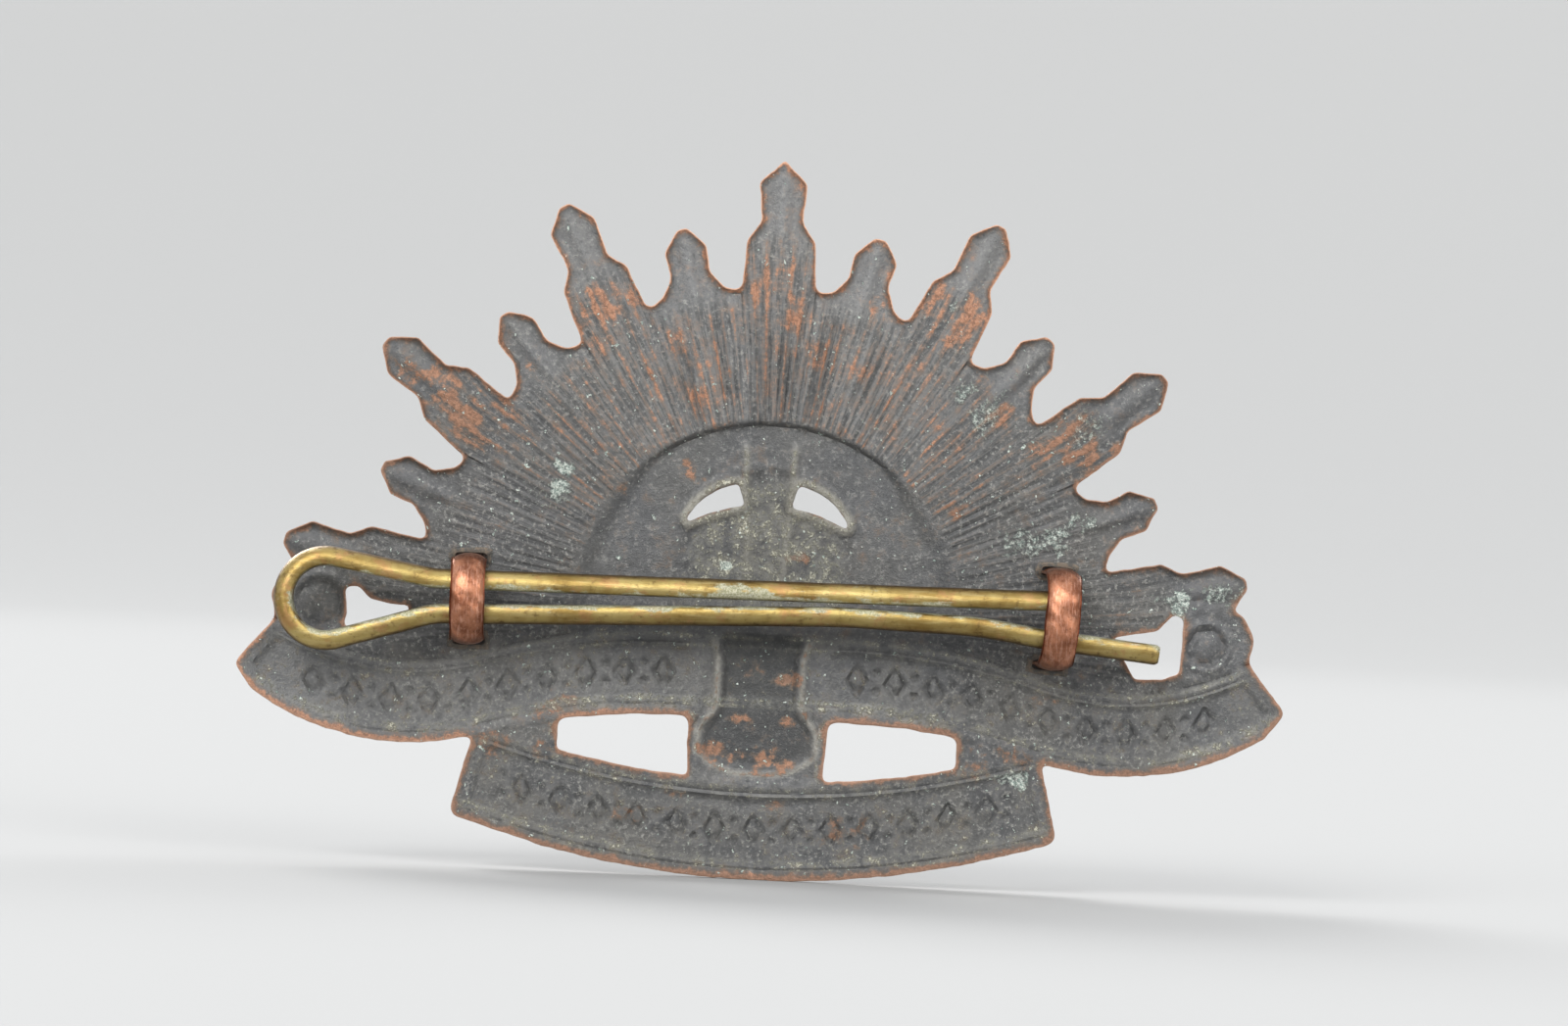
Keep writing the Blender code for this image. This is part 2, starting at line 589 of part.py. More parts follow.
def strip_section():
    """Half-round strip: (across, out) with a domed outer face and eased edges."""
    half, inner = 0.5 * STRIP_WIDTH, -0.5 * STRIP_THICK
    dome = [(half * s, 0.5 * STRIP_THICK - STRIP_DOME * s * s) for s in (0.85, 0.5, 0.0, -0.5, -0.85)]
    return [(half - 0.1, inner), (half, inner + 0.1), (half, 0.1)] + dome + \
        [(-half, 0.1), (-half, inner + 0.1), (-half + 0.1, inner)]


def pin_loop(name, loop, look):
    path = loop_path(loop)
    turn = math.radians(loop["turn"])
    sections = []
    for (up, y), (nu, ny) in zip(path, normals(path)):
        section = []
        for across, out in strip_section():
            a, b = across, up - nu * out
            height = y - ny * out
            x = loop["x"] + a * math.cos(turn) - b * math.sin(turn) + loop["lean"] * height
            z = loop["z"] + a * math.sin(turn) + b * math.cos(turn)
            section.append((x, height, z))
        sections.append(section)
    bm = bmesh.new()
    sweep(bm, sections)
    return finish(bm, name, look)


def braze(name, loop, foot, look):
    """Collar of filler metal round one foot: a hollow-sided ring."""
    turn = math.radians(loop["turn"])
    seat = -PAD_DEPTH + SEAT_GAP
    half_x, half_z = 0.5 * STRIP_WIDTH + BRAZE_GAP, 0.5 * STRIP_THICK + BRAZE_GAP
    levels = ((0.0, 0.0), (BRAZE_REACH, 0.0), (BRAZE_REACH, 0.06), (0.4 * BRAZE_REACH, 0.3 * BRAZE_RISE),
              (0.12 * BRAZE_REACH, 0.75 * BRAZE_RISE), (0.0, BRAZE_RISE))
    bm = bmesh.new()
    rings = []
    for grow, rise in levels:
        ease = 0.12 + grow
        w, h = half_x + grow, half_z + grow
        corners = [(w, h, ease), (-w, h, ease), (-w, -h, ease), (w, -h, ease)]
        points = []
        for i, corner in enumerate(corners):
            points += round_corner(corners[i - 1], corner, corners[(i + 1) % 4], ease, 32.0)
        verts = []
        for a, b in points:
            x = foot[0] + a * math.cos(turn) - b * math.sin(turn) + loop["lean"] * (seat + rise)
            z = foot[1] + a * math.sin(turn) + b * math.cos(turn)
            verts.append(bm.verts.new((x, seat + rise, z)))
        rings.append(verts)
    for near, far in zip(rings, rings[1:] + rings[:1]):
        for i in range(len(near)):
            j = (i + 1) % len(near)
            bm.faces.new([near[i], near[j], far[j], far[i]])
    return finish(bm, name, look)


def pin_path():
    """Middle line of the wire in (x, z): tail, lower leg, round the eye, upper leg."""
    def tangent(side, neck_z):
        dx, dz = NECK_X - EYE_X, neck_z - EYE_Z
        swing = math.acos(EYE_RADIUS / math.hypot(dx, dz))
        return math.atan2(dz, dx) + side * swing

    turn = steps(tangent(1, LOWER_NECK_Z), tangent(-1, UPPER_NECK_Z), 22)
    eye = [(EYE_X + EYE_RADIUS * math.cos(a), EYE_Z + EYE_RADIUS * math.sin(a), 0.0) for a in turn]
    lower = [(TAIL_X, TAIL_Z, 0.0), *reversed(LOWER_BENDS), (NECK_X, LOWER_NECK_Z, NECK_RADIUS)]
    upper = [(NECK_X, UPPER_NECK_Z, NECK_RADIUS), (UPPER_END_X, UPPER_END_Z, 0.0)]
    return rounded(lower + eye + upper, closed=False, step=6.0)


def wire_section():
    """Half-round wire in (out, y): flat towards the other leg, round outside."""
    middle, half = 0.5 * (1.0 - WIRE_FLAT), 0.5 * (1.0 + WIRE_FLAT)
    section = []
    for i in range(WIRE_SIDES):
        a = 2.0 * math.pi * i / WIRE_SIDES
        out = (max(math.cos(a), -WIRE_FLAT) - middle) / half
        section.append((0.5 * WIRE_WIDTH * out, 0.5 * WIRE_DEPTH * math.sin(a)))
    return section


def split_pin(look):
    path = pin_path()
    sections = []
    for (x, z), (nx, nz) in zip(path, normals(path)):
        sections.append([(x - nx * out, PIN_Y + y, z - nz * out) for out, y in wire_section()])
    bm = bmesh.new()
    sweep(bm, sections)
    return finish(bm, "split_pin", look, origin=(EYE_X, PIN_Y, EYE_Z))


for stale in list(bpy.data.objects):
    bpy.data.objects.remove(stale, do_unlink=True)

oxidised_copper = material("oxidised_copper", (0.115, 0.108, 0.098), 0.52, 0.75)
loop_copper = material("loop_copper", (0.36, 0.15, 0.085), 0.4, 0.9)
braze_metal = material("braze_metal", (0.24, 0.2, 0.15), 0.55, 0.8)
pin_brass = material("pin_brass", (0.36, 0.27, 0.105), 0.36, 0.9)

plate(oxidised_copper)
pin_loop("eye_loop", EYE_LOOP, loop_copper)
pin_loop("tail_loop", TAIL_LOOP, loop_copper)
for owner, loop in (("eye_loop", EYE_LOOP), ("tail_loop", TAIL_LOOP)):
    for place, foot in zip(("upper", "lower"), feet(loop)):
        braze("braze_" + owner + "_" + place, loop, foot, braze_metal)
split_pin(pin_brass)
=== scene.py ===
import math

import bmesh
import bpy
import numpy as np
from mathutils import Matrix, Vector
from mathutils.geometry import delaunay_2d_cdt
from mathutils.kdtree import KDTree


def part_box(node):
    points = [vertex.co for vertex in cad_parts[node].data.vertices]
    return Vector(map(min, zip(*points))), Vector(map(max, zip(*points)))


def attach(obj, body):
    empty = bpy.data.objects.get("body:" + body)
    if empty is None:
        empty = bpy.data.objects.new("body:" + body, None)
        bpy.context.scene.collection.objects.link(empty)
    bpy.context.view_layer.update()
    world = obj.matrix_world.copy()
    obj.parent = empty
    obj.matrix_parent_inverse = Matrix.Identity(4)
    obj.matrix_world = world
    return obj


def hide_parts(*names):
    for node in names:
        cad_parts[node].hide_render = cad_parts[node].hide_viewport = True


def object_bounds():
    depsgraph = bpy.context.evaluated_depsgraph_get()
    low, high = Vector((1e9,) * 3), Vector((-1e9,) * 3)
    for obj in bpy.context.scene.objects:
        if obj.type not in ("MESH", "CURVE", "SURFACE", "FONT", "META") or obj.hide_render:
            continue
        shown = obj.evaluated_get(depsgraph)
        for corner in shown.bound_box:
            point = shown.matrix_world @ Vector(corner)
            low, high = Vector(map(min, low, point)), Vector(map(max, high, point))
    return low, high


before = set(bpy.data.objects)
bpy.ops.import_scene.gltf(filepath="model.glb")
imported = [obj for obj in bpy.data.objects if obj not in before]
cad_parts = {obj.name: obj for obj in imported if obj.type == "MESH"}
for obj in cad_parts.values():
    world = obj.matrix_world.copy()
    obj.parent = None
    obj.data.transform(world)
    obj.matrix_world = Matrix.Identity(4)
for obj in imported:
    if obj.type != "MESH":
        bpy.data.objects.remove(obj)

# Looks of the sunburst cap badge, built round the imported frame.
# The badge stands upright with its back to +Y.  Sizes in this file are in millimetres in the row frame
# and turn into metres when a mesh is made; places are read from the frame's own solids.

CAD_LO, CAD_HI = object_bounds()
MM = 0.001

# ---- layout of the struck relief, as in the frame's design ----
FAN_Z, RAY_PITCH, RAYS_A_SIDE = 13.7, 12.9, 6
LONG_REACH, LONG_LOSS = 34.1, 0.17
SHORT_REACH, SHORT_LOSS = 30.2, 0.28
# Degrees by which the borders between rays lean, and how far out the flutes aim at the sun's middle
VALLEY_LEAN, FLUTE_REACH = 0.8, 26.0
FLUTE_LEVEL, HEAD_LENGTH, HEAD_DEPTH, HEAD_CREST = 0.27, 6.6, 0.42, 0.25
SUN_Z, SUN_RADIUS, SUN_DEPTH, SUN_RISE = 17.05, 13.2, 0.7, 0.1
CROWN_Z, CROWN_HALF, CROWN_RISE, CROWN_FOOT_Z, CROWN_DEPTH = 20.2, 6.2, 7.2, 17.0, 0.2
CROWN_BAND_Z, CROWN_BAND_HALF, CROWN_BAND_DEPTH = 17.6, 4.6, 0.18
RIB_X, RIB_Z, RIB_LEAN, RIB_WIDTH, RIB_RISE = 1.42, 24.0, 0.05, 0.24, 0.25
LEVEL_Z, LEVEL_HALF = 10.35, 6.0
HOLLOW_X, HOLLOW_Z, HOLLOW_RADIUS = 24.0, 25.6, 18.0
SCROLL_HEIGHT, LOWER_HEIGHT = 5.6, 6.6
FOOT_Z, FOOT_RADIUS = -0.5, 61.0
WINDOW_NEAR, WINDOW_FAR, BRIDGE_DEPTH = 4.5, 15.4, 0.12
# The fold between the scrolls: half width with two flares, and depths
FOLD_HALF, FOLD_FLARE, FOLD_TOP_FLARE, FOLD_FOOT = 2.55, 1.1, 0.3, 0.55
FOLD_DEPTH, FOLD_STEP, FOLD_SIDE, PLEAT_RISE, PLEAT_FALL = 0.46, 0.16, 0.2, 0.17, 0.14
# Curls at the scrolls' ends, and their rings: distance out, width, depth
CURL_X, CURL_Z, CURL_TOP, BIG_CURL = 29.8, 16.6, 19.6, 1.25
CURL_DEPTH, CURL_SINK, CURL_BUTTON, CURL_EDGE = 0.16, 0.12, 0.16, 1.4
CURL_RINGS = ((1.95, 0.15, 0.09), (1.6, 0.16, -0.11), (1.12, 0.2, 0.15))
SHEET, RELIEF_GAIN, LIP_RISE, BURR = 0.9, 1.15, 0.3, 0.05
PAD_DEPTH, PAD_HALF_LENGTH, PAD_HALF_WIDTH = 0.12, 1.2, 0.3
OUTLINE_SPACING, FINE_SPACING, COARSE_SPACING = 0.18, 0.24, 0.5
WIDE_WEAR, NARROW_WEAR = 0.36, 0.2

# Flutes across half a ray: degrees off its middle, depth below the rim
LONG_FLUTES = (
    (0.0, 0.13), (0.5, 0.17), (0.95, 0.34), (1.4, 0.18), (1.84, 0.04), (2.3, 0.2), (2.76, 0.36),
    (3.2, 0.24), (3.69, 0.09), (4.15, 0.26), (4.6, 0.42), (5.06, 0.27), (5.53, 0.12), (5.8, 0.22))
SHORT_FLUTES = (
    (0.0, 0.14), (0.5, 0.19), (0.95, 0.34), (1.4, 0.18), (1.84, 0.05), (2.3, 0.2), (2.76, 0.36),
    (3.2, 0.24), (3.69, 0.09), (4.15, 0.26), (4.6, 0.42), (5.06, 0.27), (5.53, 0.12), (6.0, 0.26),
    (6.45, 0.4), (6.9, 0.26), (7.37, 0.14))
# Across a scroll, from its lower edge up: height, depth below the rim
UPPER_BAND = (
    (0.0, 0.0), (0.5, 0.02), (0.66, 0.16), (0.82, 0.04), (1.15, 0.36), (4.45, 0.36), (4.72, 0.08),
    (4.9, 0.22), (5.1, 0.05), (5.35, 0.1), (5.6, 0.34))
LOWER_BAND = (
    (0.0, 0.0), (0.5, 0.02), (0.68, 0.17), (0.86, 0.04), (1.2, 0.36), (5.3, 0.36), (5.58, 0.06),
    (5.8, 0.2), (6.02, 0.03), (6.6, 0.02))
# How many of a profile's first points make the border that also runs along a scroll's end
BORDER_POINTS = 5
# Heights in the scrolls where dirt lies, then each row of marks: its height, and where it starts and ends
UPPER_GRIT, LOWER_GRIT = (0.75, 1.15, 4.65, 5.3), (0.75, 1.2, 5.5, 6.1)
UPPER_MARKS_UP, UPPER_MARKS_FROM, UPPER_MARKS_TO = 2.8, 5.2, 31.2
LOWER_MARKS_UP, LOWER_MARKS_TO, LOWER_END = 3.25, 17.6, 16.0
LOZENGE_PITCH, LOZENGE_HALF_WIDTH, LOZENGE_HALF_HEIGHT = 2.6, 0.8, 1.15
DOT_RADIUS, DOT_UP, STRUCK_DEPTH = 0.3, 0.62, 0.27

# Spots on the back where the metal shows or has bloomed: x, z, reach across, strength
COPPER_SPOTS = (
    (20.5, 30.0, 2.0, 1.0), (22.5, 32.0, 1.6, 0.8), (18.0, 30.5, 1.1, 0.8), (20.5, 28.5, 1.5, 0.9),
    (24.5, 32.5, 1.3, 0.8), (12.0, 37.5, 1.6, 0.9), (9.5, 38.5, 1.0, 0.9), (12.0, 34.5, 1.0, 0.7),
    (16.5, 33.0, 1.0, 0.6), (6.5, 35.5, 1.2, 0.7), (5.5, 31.5, 1.4, 0.8), (1.0, 39.0, 1.3, 0.75),
    (-1.0, 37.5, 1.3, 0.85), (-3.0, 35.0, 1.3, 0.8), (14.0, 29.5, 1.2, 0.5), (11.0, 26.0, 1.4, 0.5),
    (5.5, 27.0, 0.8, 1.3), (-2.0, 21.2, 0.8, 1.4), (-6.5, 38.0, 1.0, 0.8), (-6.0, 33.5, 1.2, 0.6),
    (-10.5, 39.5, 1.5, 0.85), (-12.5, 37.5, 1.7, 1.0), (-14.0, 33.5, 1.1, 0.6), (-15.5, 31.5, 1.2, 0.8),
    (-20.0, 30.5, 1.4, 0.8), (-21.0, 29.0, 1.7, 1.0), (-23.0, 29.5, 1.3, 0.9), (-18.0, 29.0, 1.5, 0.6),
    (-12.5, 25.0, 0.8, 0.7), (5.5, 5.0, 0.8, 0.8), (8.5, 3.5, 0.9, 0.7), (12.5, 2.5, 0.8, 0.6),
    (18.0, 8.0, 1.5, 0.85), (13.0, 10.3, 2.0, 0.75), (14.0, 7.5, 1.2, 0.7), (1.1, 10.3, 0.8, 0.9),
    (-1.7, 13.0, 0.8, 0.95), (0.2, 13.6, 1.1, 0.55), (2.7, 8.3, 1.1, 1.05), (1.0, 7.9, 0.9, 1.0),
    (-0.7, 7.4, 1.2, 1.25), (-1.9, 10.3, 0.6, 1.0), (-1.5, 4.5, 0.8, 0.8), (-6.5, 3.0, 1.4, 0.75),
    (-18.5, 12.3, 1.1, 0.6), (-17.5, 8.5, 1.1, 0.8), (-14.0, 7.5, 1.4, 0.7))
BLOOM_SPOTS = (
    (13.8, 26.5, 0.8, 1.0), (13.9, 25.2, 0.9, 1.0), (15.5, 24.5, 1.5, 0.5), (16.0, 28.5, 0.7, 0.6),
    (-11.8, 38.5, 0.7, 0.8), (-12.8, 33.0, 1.2, 0.8), (-14.5, 31.5, 1.6, 0.7), (-21.0, 30.7, 1.6, 0.6),
    (-19.5, 23.7, 2.0, 0.8), (-17.0, 23.0, 1.6, 0.7), (-27.7, 19.4, 1.3, 0.9), (-30.5, 20.2, 1.4, 0.75),
    (-17.4, 7.1, 1.0, 0.9), (20.5, 19.0, 1.0, 0.4), (4.6, 1.2, 1.4, 0.4), (22.5, 22.5, 1.6, 0.35),
    (7.6, 23.5, 0.28, 1.3), (9.9, 20.6, 0.3, 1.2), (-9.6, 24.4, 0.3, 1.2), (2.7, 20.4, 0.4, 1.0))


# ---- small numeric helpers ----
def ramp(value, start, end):
    return np.clip((value - start) / (end - start), 0.0, 1.0)


def ease(value, start, end):
    share = ramp(value, start, end)
    return share * share * (3.0 - 2.0 * share)


def mix(a, b, share):
    return a + (b - a) * share


def bump(value, middle, width):
    """A soft hump, 1 at its middle."""
    return np.exp(-((value - middle) / width) ** 2)


def across(profile, value):
    """Read a (position, depth) profile at each value, with rounded turns."""
    spots = [p for p, _ in profile]
    depths = [d for _, d in profile]
    soften = 0.05
    return sum(np.interp(value + soften * s, spots, depths) for s in (-1.0, 0.0, 1.0)) / 3.0


def lattice(ix, iz, seed):
    """Repeatable value in 0..1 for each whole-numbered lattice point."""
    mixed = np.sin(ix * 127.1 + iz * 311.7 + seed * 74.7) * 43758.5453
    return mixed - np.floor(mixed)


def value_noise(x, z, size, seed):
    """Smooth noise in -1..1 with features of about the given size."""
    gx, gz = x / size, z / size
    ix, iz = np.floor(gx), np.floor(gz)
    fx, fz = gx - ix, gz - iz
    fx, fz = fx * fx * (3.0 - 2.0 * fx), fz * fz * (3.0 - 2.0 * fz)
    low = mix(lattice(ix, iz, seed), lattice(ix + 1, iz, seed), fx)
    high = mix(lattice(ix, iz + 1, seed), lattice(ix + 1, iz + 1, seed), fx)
    return 2.0 * mix(low, high, fz) - 1.0


# ---- places read from the frame ----
def node_arrays(name):
    """A CAD node's corners in millimetres and its triangles."""
    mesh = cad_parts[name].data
    co = np.array([v.co[:] for v in mesh.vertices]) / MM
    faces = [tuple(p.vertices) for p in mesh.polygons]
    return co, faces


def welded(co, faces):
    """Merge corners that share a place, so that edges can be followed."""
    keys, index = np.unique(np.round(co, 3), axis=0, return_inverse=True)
    index = index.reshape(-1)
    merged = [tuple(index[i] for i in face) for face in faces]
    return keys, [face for face in merged if len(set(face)) == 3]


def back_outlines():
    """Closed loops (x, z) where the plate's upright edge meets its back."""
    co, faces = welded(*node_arrays("badge_plate"))
    walls, backs = {}, {}
    for face in faces:
        a, b, c = (co[i] for i in face)
        normal = np.cross(b - a, c - a)
        normal /= np.linalg.norm(normal)
        kind = walls if abs(normal[1]) < 0.02 else backs if normal[1] > 0.02 else None
        if kind is not None:
            for i in range(3):
                kind[(face[i], face[(i + 1) % 3])] = True
    follow = {a: b for (a, b) in backs if (b, a) in walls}
    loops = []
    while follow:
        start, here = follow.popitem()
        loop = [start]
        while here != start:
            loop.append(here)
            here = follow.pop(here)
        loops.append(co[loop][:, [0, 2]])
    return sorted(loops, key=lambda loop: -len(loop))


def even_loop(loop, spacing):
    """Resample a closed loop at even steps."""
    steps = np.linalg.norm(np.roll(loop, -1, 0) - loop, axis=1)
    along = np.concatenate([[0.0], np.cumsum(steps)])
    closed = np.vstack([loop, loop[:1]])
    places = np.linspace(0.0, along[-1], max(8, int(along[-1] / spacing)), endpoint=False)
    return np.column_stack([np.interp(places, along, closed[:, k]) for k in (0, 1)])


def clipped_loop(loop, spacing):
    """The loop as shears leave it: evenly resampled, corners barely rounded, edge a little ragged."""
    fine = even_loop(loop, spacing)
    fine = 0.2 * np.roll(fine, 1, 0) + 0.6 * fine + 0.2 * np.roll(fine, -1, 0)
    ragged = 0.045 * value_noise(*fine.T, 1.4, 51) + 0.03 * value_noise(*fine.T, 0.5, 53)
    return fine + leftward(fine) * ragged[:, None]


def loop_layout(name):
    """Where a loop stands: its two feet, its top and how it turns and leans."""
    co, _ = node_arrays(name)
    low = co[co[:, 1] < co[:, 1].min() + 0.05]
    middle = 0.5 * (low[:, 2].min() + low[:, 2].max())
    upper = low[low[:, 2] > middle].mean(0)
    lower = low[low[:, 2] < middle].mean(0)
    top = co[co[:, 1] > co[:, 1].max() - 0.05].mean(0)
    run = upper - lower
    return {"middle": 0.5 * (upper + lower), "reach": 0.5 * math.hypot(run[0], run[2]),
            "turn": math.atan2(-run[0], run[2]), "foot": low[:, 1].min(), "top": co[:, 1].max(),
            "lean": (top[0] - 0.5 * (upper[0] + lower[0])) / (top[1] - low[:, 1].min())}


EYE_LOOP = loop_layout("eye_loop")
TAIL_LOOP = loop_layout("tail_loop")


def feet(layout):
    offset = np.array([-math.sin(layout["turn"]), math.cos(layout["turn"])]) * layout["reach"]
    middle = layout["middle"][[0, 2]]
    return [middle + offset, middle - offset]


# ---- relief of the plate: depth of the back below the rim ----
def scroll_edge(x):
    """Lower edge of the upper scroll."""
    x = np.abs(x)
    run, rise = HOLLOW_X - LEVEL_HALF, HOLLOW_Z - LEVEL_Z
    radius = (run ** 2 + rise ** 2 - HOLLOW_RADIUS ** 2) / (2.0 * (HOLLOW_RADIUS - rise))
    turn = mix(LEVEL_HALF, HOLLOW_X, radius / (radius + HOLLOW_RADIUS))
    convex = LEVEL_Z - radius + np.sqrt(np.maximum(0.0, radius ** 2 - (x - LEVEL_HALF) ** 2))
    hollow = HOLLOW_Z - np.sqrt(np.maximum(0.0, HOLLOW_RADIUS ** 2 - (x - HOLLOW_X) ** 2))
    return np.where(x < LEVEL_HALF, LEVEL_Z, np.where(x < turn, convex, hollow))


def lower_edge(x):
    return FOOT_Z + FOOT_RADIUS - np.sqrt(FOOT_RADIUS ** 2 - x * x)


def flute_angle(x, z):
    """Degrees off upright, in the fan, of the flute through each point: flutes run to the sun's middle."""
    turn, rise = np.arctan2(np.abs(x), z - SUN_Z), SUN_Z - FAN_Z
    out = np.sqrt(FLUTE_REACH ** 2 - (rise * np.sin(turn)) ** 2) - rise * np.cos(turn)
    inner = np.degrees(np.arctan2(out * np.sin(turn), rise + out * np.cos(turn)))
    outer = np.degrees(np.arctan2(np.abs(x), z - FAN_Z))
    return np.where(np.hypot(x, z - FAN_Z) < FLUTE_REACH, inner, outer)


def flute_point(angle, reach):
    """The place on a flute at a distance from the fan's centre."""
    a = math.radians(angle)
    if reach >= FLUTE_REACH:
        return reach * math.sin(a), FAN_Z + reach * math.cos(a)
    rise = SUN_Z - FAN_Z
    dx, dz = FLUTE_REACH * math.sin(a), FLUTE_REACH * math.cos(a) - rise
    square, half = dx * dx + dz * dz, dz * rise
    share = (math.sqrt(half * half - square * (rise * rise - reach * reach)) - half) / square
    return share * dx, SUN_Z + share * dz


def fan_angle(x, z):
    """Signed degrees off upright of the flute through each point."""
    return np.sign(x) * flute_angle(x, z)


def fan_place(x, z):
    """Nearest ray, degrees off its middle, and distance from the fan's centre."""
    angle = flute_angle(x, z)
    below = np.floor(angle / RAY_PITCH)
    lean = np.where(below % 2 == 0, -VALLEY_LEAN, VALLEY_LEAN)
    border = RAY_PITCH * (below + 0.5) + lean
    nearest = np.where(angle > border, np.ceil(angle / RAY_PITCH), below)
    ray = np.minimum(RAYS_A_SIDE, nearest)
    return ray, np.abs(angle - RAY_PITCH * ray), np.hypot(x, z - FAN_Z)


def ray_reach(ray):
    return np.where(ray % 2 == 0, LONG_REACH - LONG_LOSS * ray, SHORT_REACH - SHORT_LOSS * ray)


def flutes(x, z, edge):
    """Depth of the fan, and how much of a ridge each point is."""
    angle = fan_angle(x, z)
    aside = ease(np.abs(angle), 8.0, 32.0)
    sway = mix(0.16, 0.45, aside) * value_noise(x, z, 2.6, 41)
    ray, off, reach = fan_place(x, z)
    off = np.abs(off + sway)
    wave = np.where(ray % 2 == 0, across(LONG_FLUTES, off), across(SHORT_FLUTES, off))
    ridge = ramp(wave, 0.26, 0.06)
    uneven = (0.92 + 0.5 * value_noise(angle * 0.5, reach * 0.1, 1.0, 43)) * mix(1.0, 0.42, aside)
    wave = FLUTE_LEVEL + (wave - FLUTE_LEVEL) * uneven * mix(1.0, 0.62, ease(reach, 20.0, 27.0))
    wave = mix(0.08 + 0.8 * wave, wave, ease(reach, 14.0, 22.0))
    head = ease(reach, ray_reach(ray) - HEAD_LENGTH, ray_reach(ray) - HEAD_LENGTH + 2.2)
    bowl = HEAD_DEPTH - HEAD_CREST * bump(off, 0.0, 0.95) + 0.05 * value_noise(x, z, 1.4, 3)
    return mix(wave, bowl, head) * ease(edge, 0.0, 0.38), ridge * (1.0 - head)


def crown_inside(x, z):
    """Distance inside the crown's hollow, negative outside."""
    arch = (1.0 - np.hypot(x / CROWN_HALF, (z - CROWN_Z) / CROWN_RISE)) * CROWN_HALF
    straight = np.minimum(CROWN_HALF - np.abs(x), z - CROWN_FOOT_Z)
    return np.where(z < CROWN_Z, straight, arch)


def crown_rib(x, z):
    """The two upright ribs between the crown's voids."""
    aside = np.abs(x) - RIB_X - RIB_LEAN * (z - RIB_Z)
    return bump(aside, 0.0, RIB_WIDTH) * ease(z, 18.4, 20.5) * ease(z, 29.0, 28.2)


def sun(x, z):
    """Depth of the sun's disc with the crown sunk into it."""
    dome = SUN_DEPTH + SUN_RISE * (1.0 - (np.hypot(x, z - SUN_Z) / SUN_RADIUS) ** 2)
    inside = crown_inside(x, z)
    swell = 0.12 * np.sin(ramp(z, 17.5, 22.5) * math.pi) * ease(np.abs(x), 5.6, 4.0)
    lumps = 0.05 * value_noise(x, z, 0.9, 45) + 0.04 * value_noise(x, z, 0.45, 46)
    band = ease(np.abs(z - CROWN_BAND_Z), 1.1, 0.6) * ease(np.abs(x), CROWN_BAND_HALF, CROWN_BAND_HALF - 1.2)
    deep = dome + CROWN_DEPTH + swell + lumps + CROWN_BAND_DEPTH * band
    brow = 0.12 * bump(inside, 0.15, 0.3) * ease(z, 20.5, 23.0)
    return mix(dome, deep, ease(inside, -0.9, 1.1)) - RIB_RISE * crown_rib(x, z) - brow


def on_sun(x, z):
    """1 on the sun's disc, 0 off it; the disc's edge is soft at its sides and sharp on top."""
    angle = np.degrees(np.arctan2(np.abs(x), z - SUN_Z))
    return ease(SUN_RADIUS - np.hypot(x, z - SUN_Z), -0.02, mix(0.3, 1.5, ease(angle, 34.0, 52.0)))


def struck(x, centre_up, row):
    """Lozenges and dots struck along a band; 1 where the punch went in."""
    phase = x / LOZENGE_PITCH + row
    place = np.abs((phase - np.floor(phase) - 0.5) * LOZENGE_PITCH)
    away = place / LOZENGE_HALF_WIDTH + np.abs(centre_up) / LOZENGE_HALF_HEIGHT
    lozenge = ease(away, 1.1, 0.86) * (1.0 - 0.75 * ease(away, 0.62, 0.4))
    off_dot = np.hypot(0.5 * LOZENGE_PITCH - place, np.abs(centre_up) - DOT_UP)
    return np.maximum(lozenge, ease(off_dot, DOT_RADIUS, DOT_RADIUS - 0.16))


def upper_band(x, up, edge):
    """Depth of the upper scroll, with its borders and its row of marks."""
    band = across(UPPER_BAND, np.where(up < UPPER_MARKS_UP, np.minimum(up, edge), up))
    band = np.minimum(band, across(UPPER_BAND[:BORDER_POINTS], edge))
    away = np.abs(x)
    marked = ease(away, UPPER_MARKS_FROM, UPPER_MARKS_FROM + 0.3) * ease(edge, 1.5, 1.9)
    marked = marked * ease(away, UPPER_MARKS_TO, UPPER_MARKS_TO - 0.3)
    return band + STRUCK_DEPTH * marked * struck(x, up - UPPER_MARKS_UP, 0.0)


def lower_band(x, low, edge):
    """Depth of the lower scroll, with its borders and its row of marks."""
    from_end = np.where(np.abs(x) > LOWER_END, edge, SCROLL_HEIGHT)
    band = np.minimum(across(LOWER_BAND, low), across(LOWER_BAND[:BORDER_POINTS], from_end))
    marked = ease(np.abs(x), LOWER_MARKS_TO, LOWER_MARKS_TO - 0.2) * ease(edge, 1.3, 1.7)
    return band + STRUCK_DEPTH * marked * struck(x, low - LOWER_MARKS_UP, 0.5)


def curl(x, z, edge):
    """Depth of a scroll's rolled end; the one behind the pin's eye is larger."""
    away = np.hypot(np.abs(x) - CURL_X, z - CURL_Z) / np.where(x > 0.0, BIG_CURL, 1.0)
    roll = CURL_DEPTH + CURL_SINK * ease(away, CURL_EDGE, 1.15) - CURL_BUTTON * bump(away, 0.0, 0.75)
    roll += sum(depth * bump(away, out, width) for out, width, depth in CURL_RINGS)
    return roll * ease(edge, 0.0, 0.5)


def fold_half(z):
    """Half the width of the fold's hollow."""
    return FOLD_HALF + FOLD_FLARE * ease(z, 11.2, 9.2) + FOLD_TOP_FLARE * ease(z, 14.0, 15.6)


def fold_foot(x):
    """Height of the fold's rounded foot."""
    return lower_edge(x) + LOWER_HEIGHT + FOLD_FOOT + 0.02 * np.abs(x) ** 3


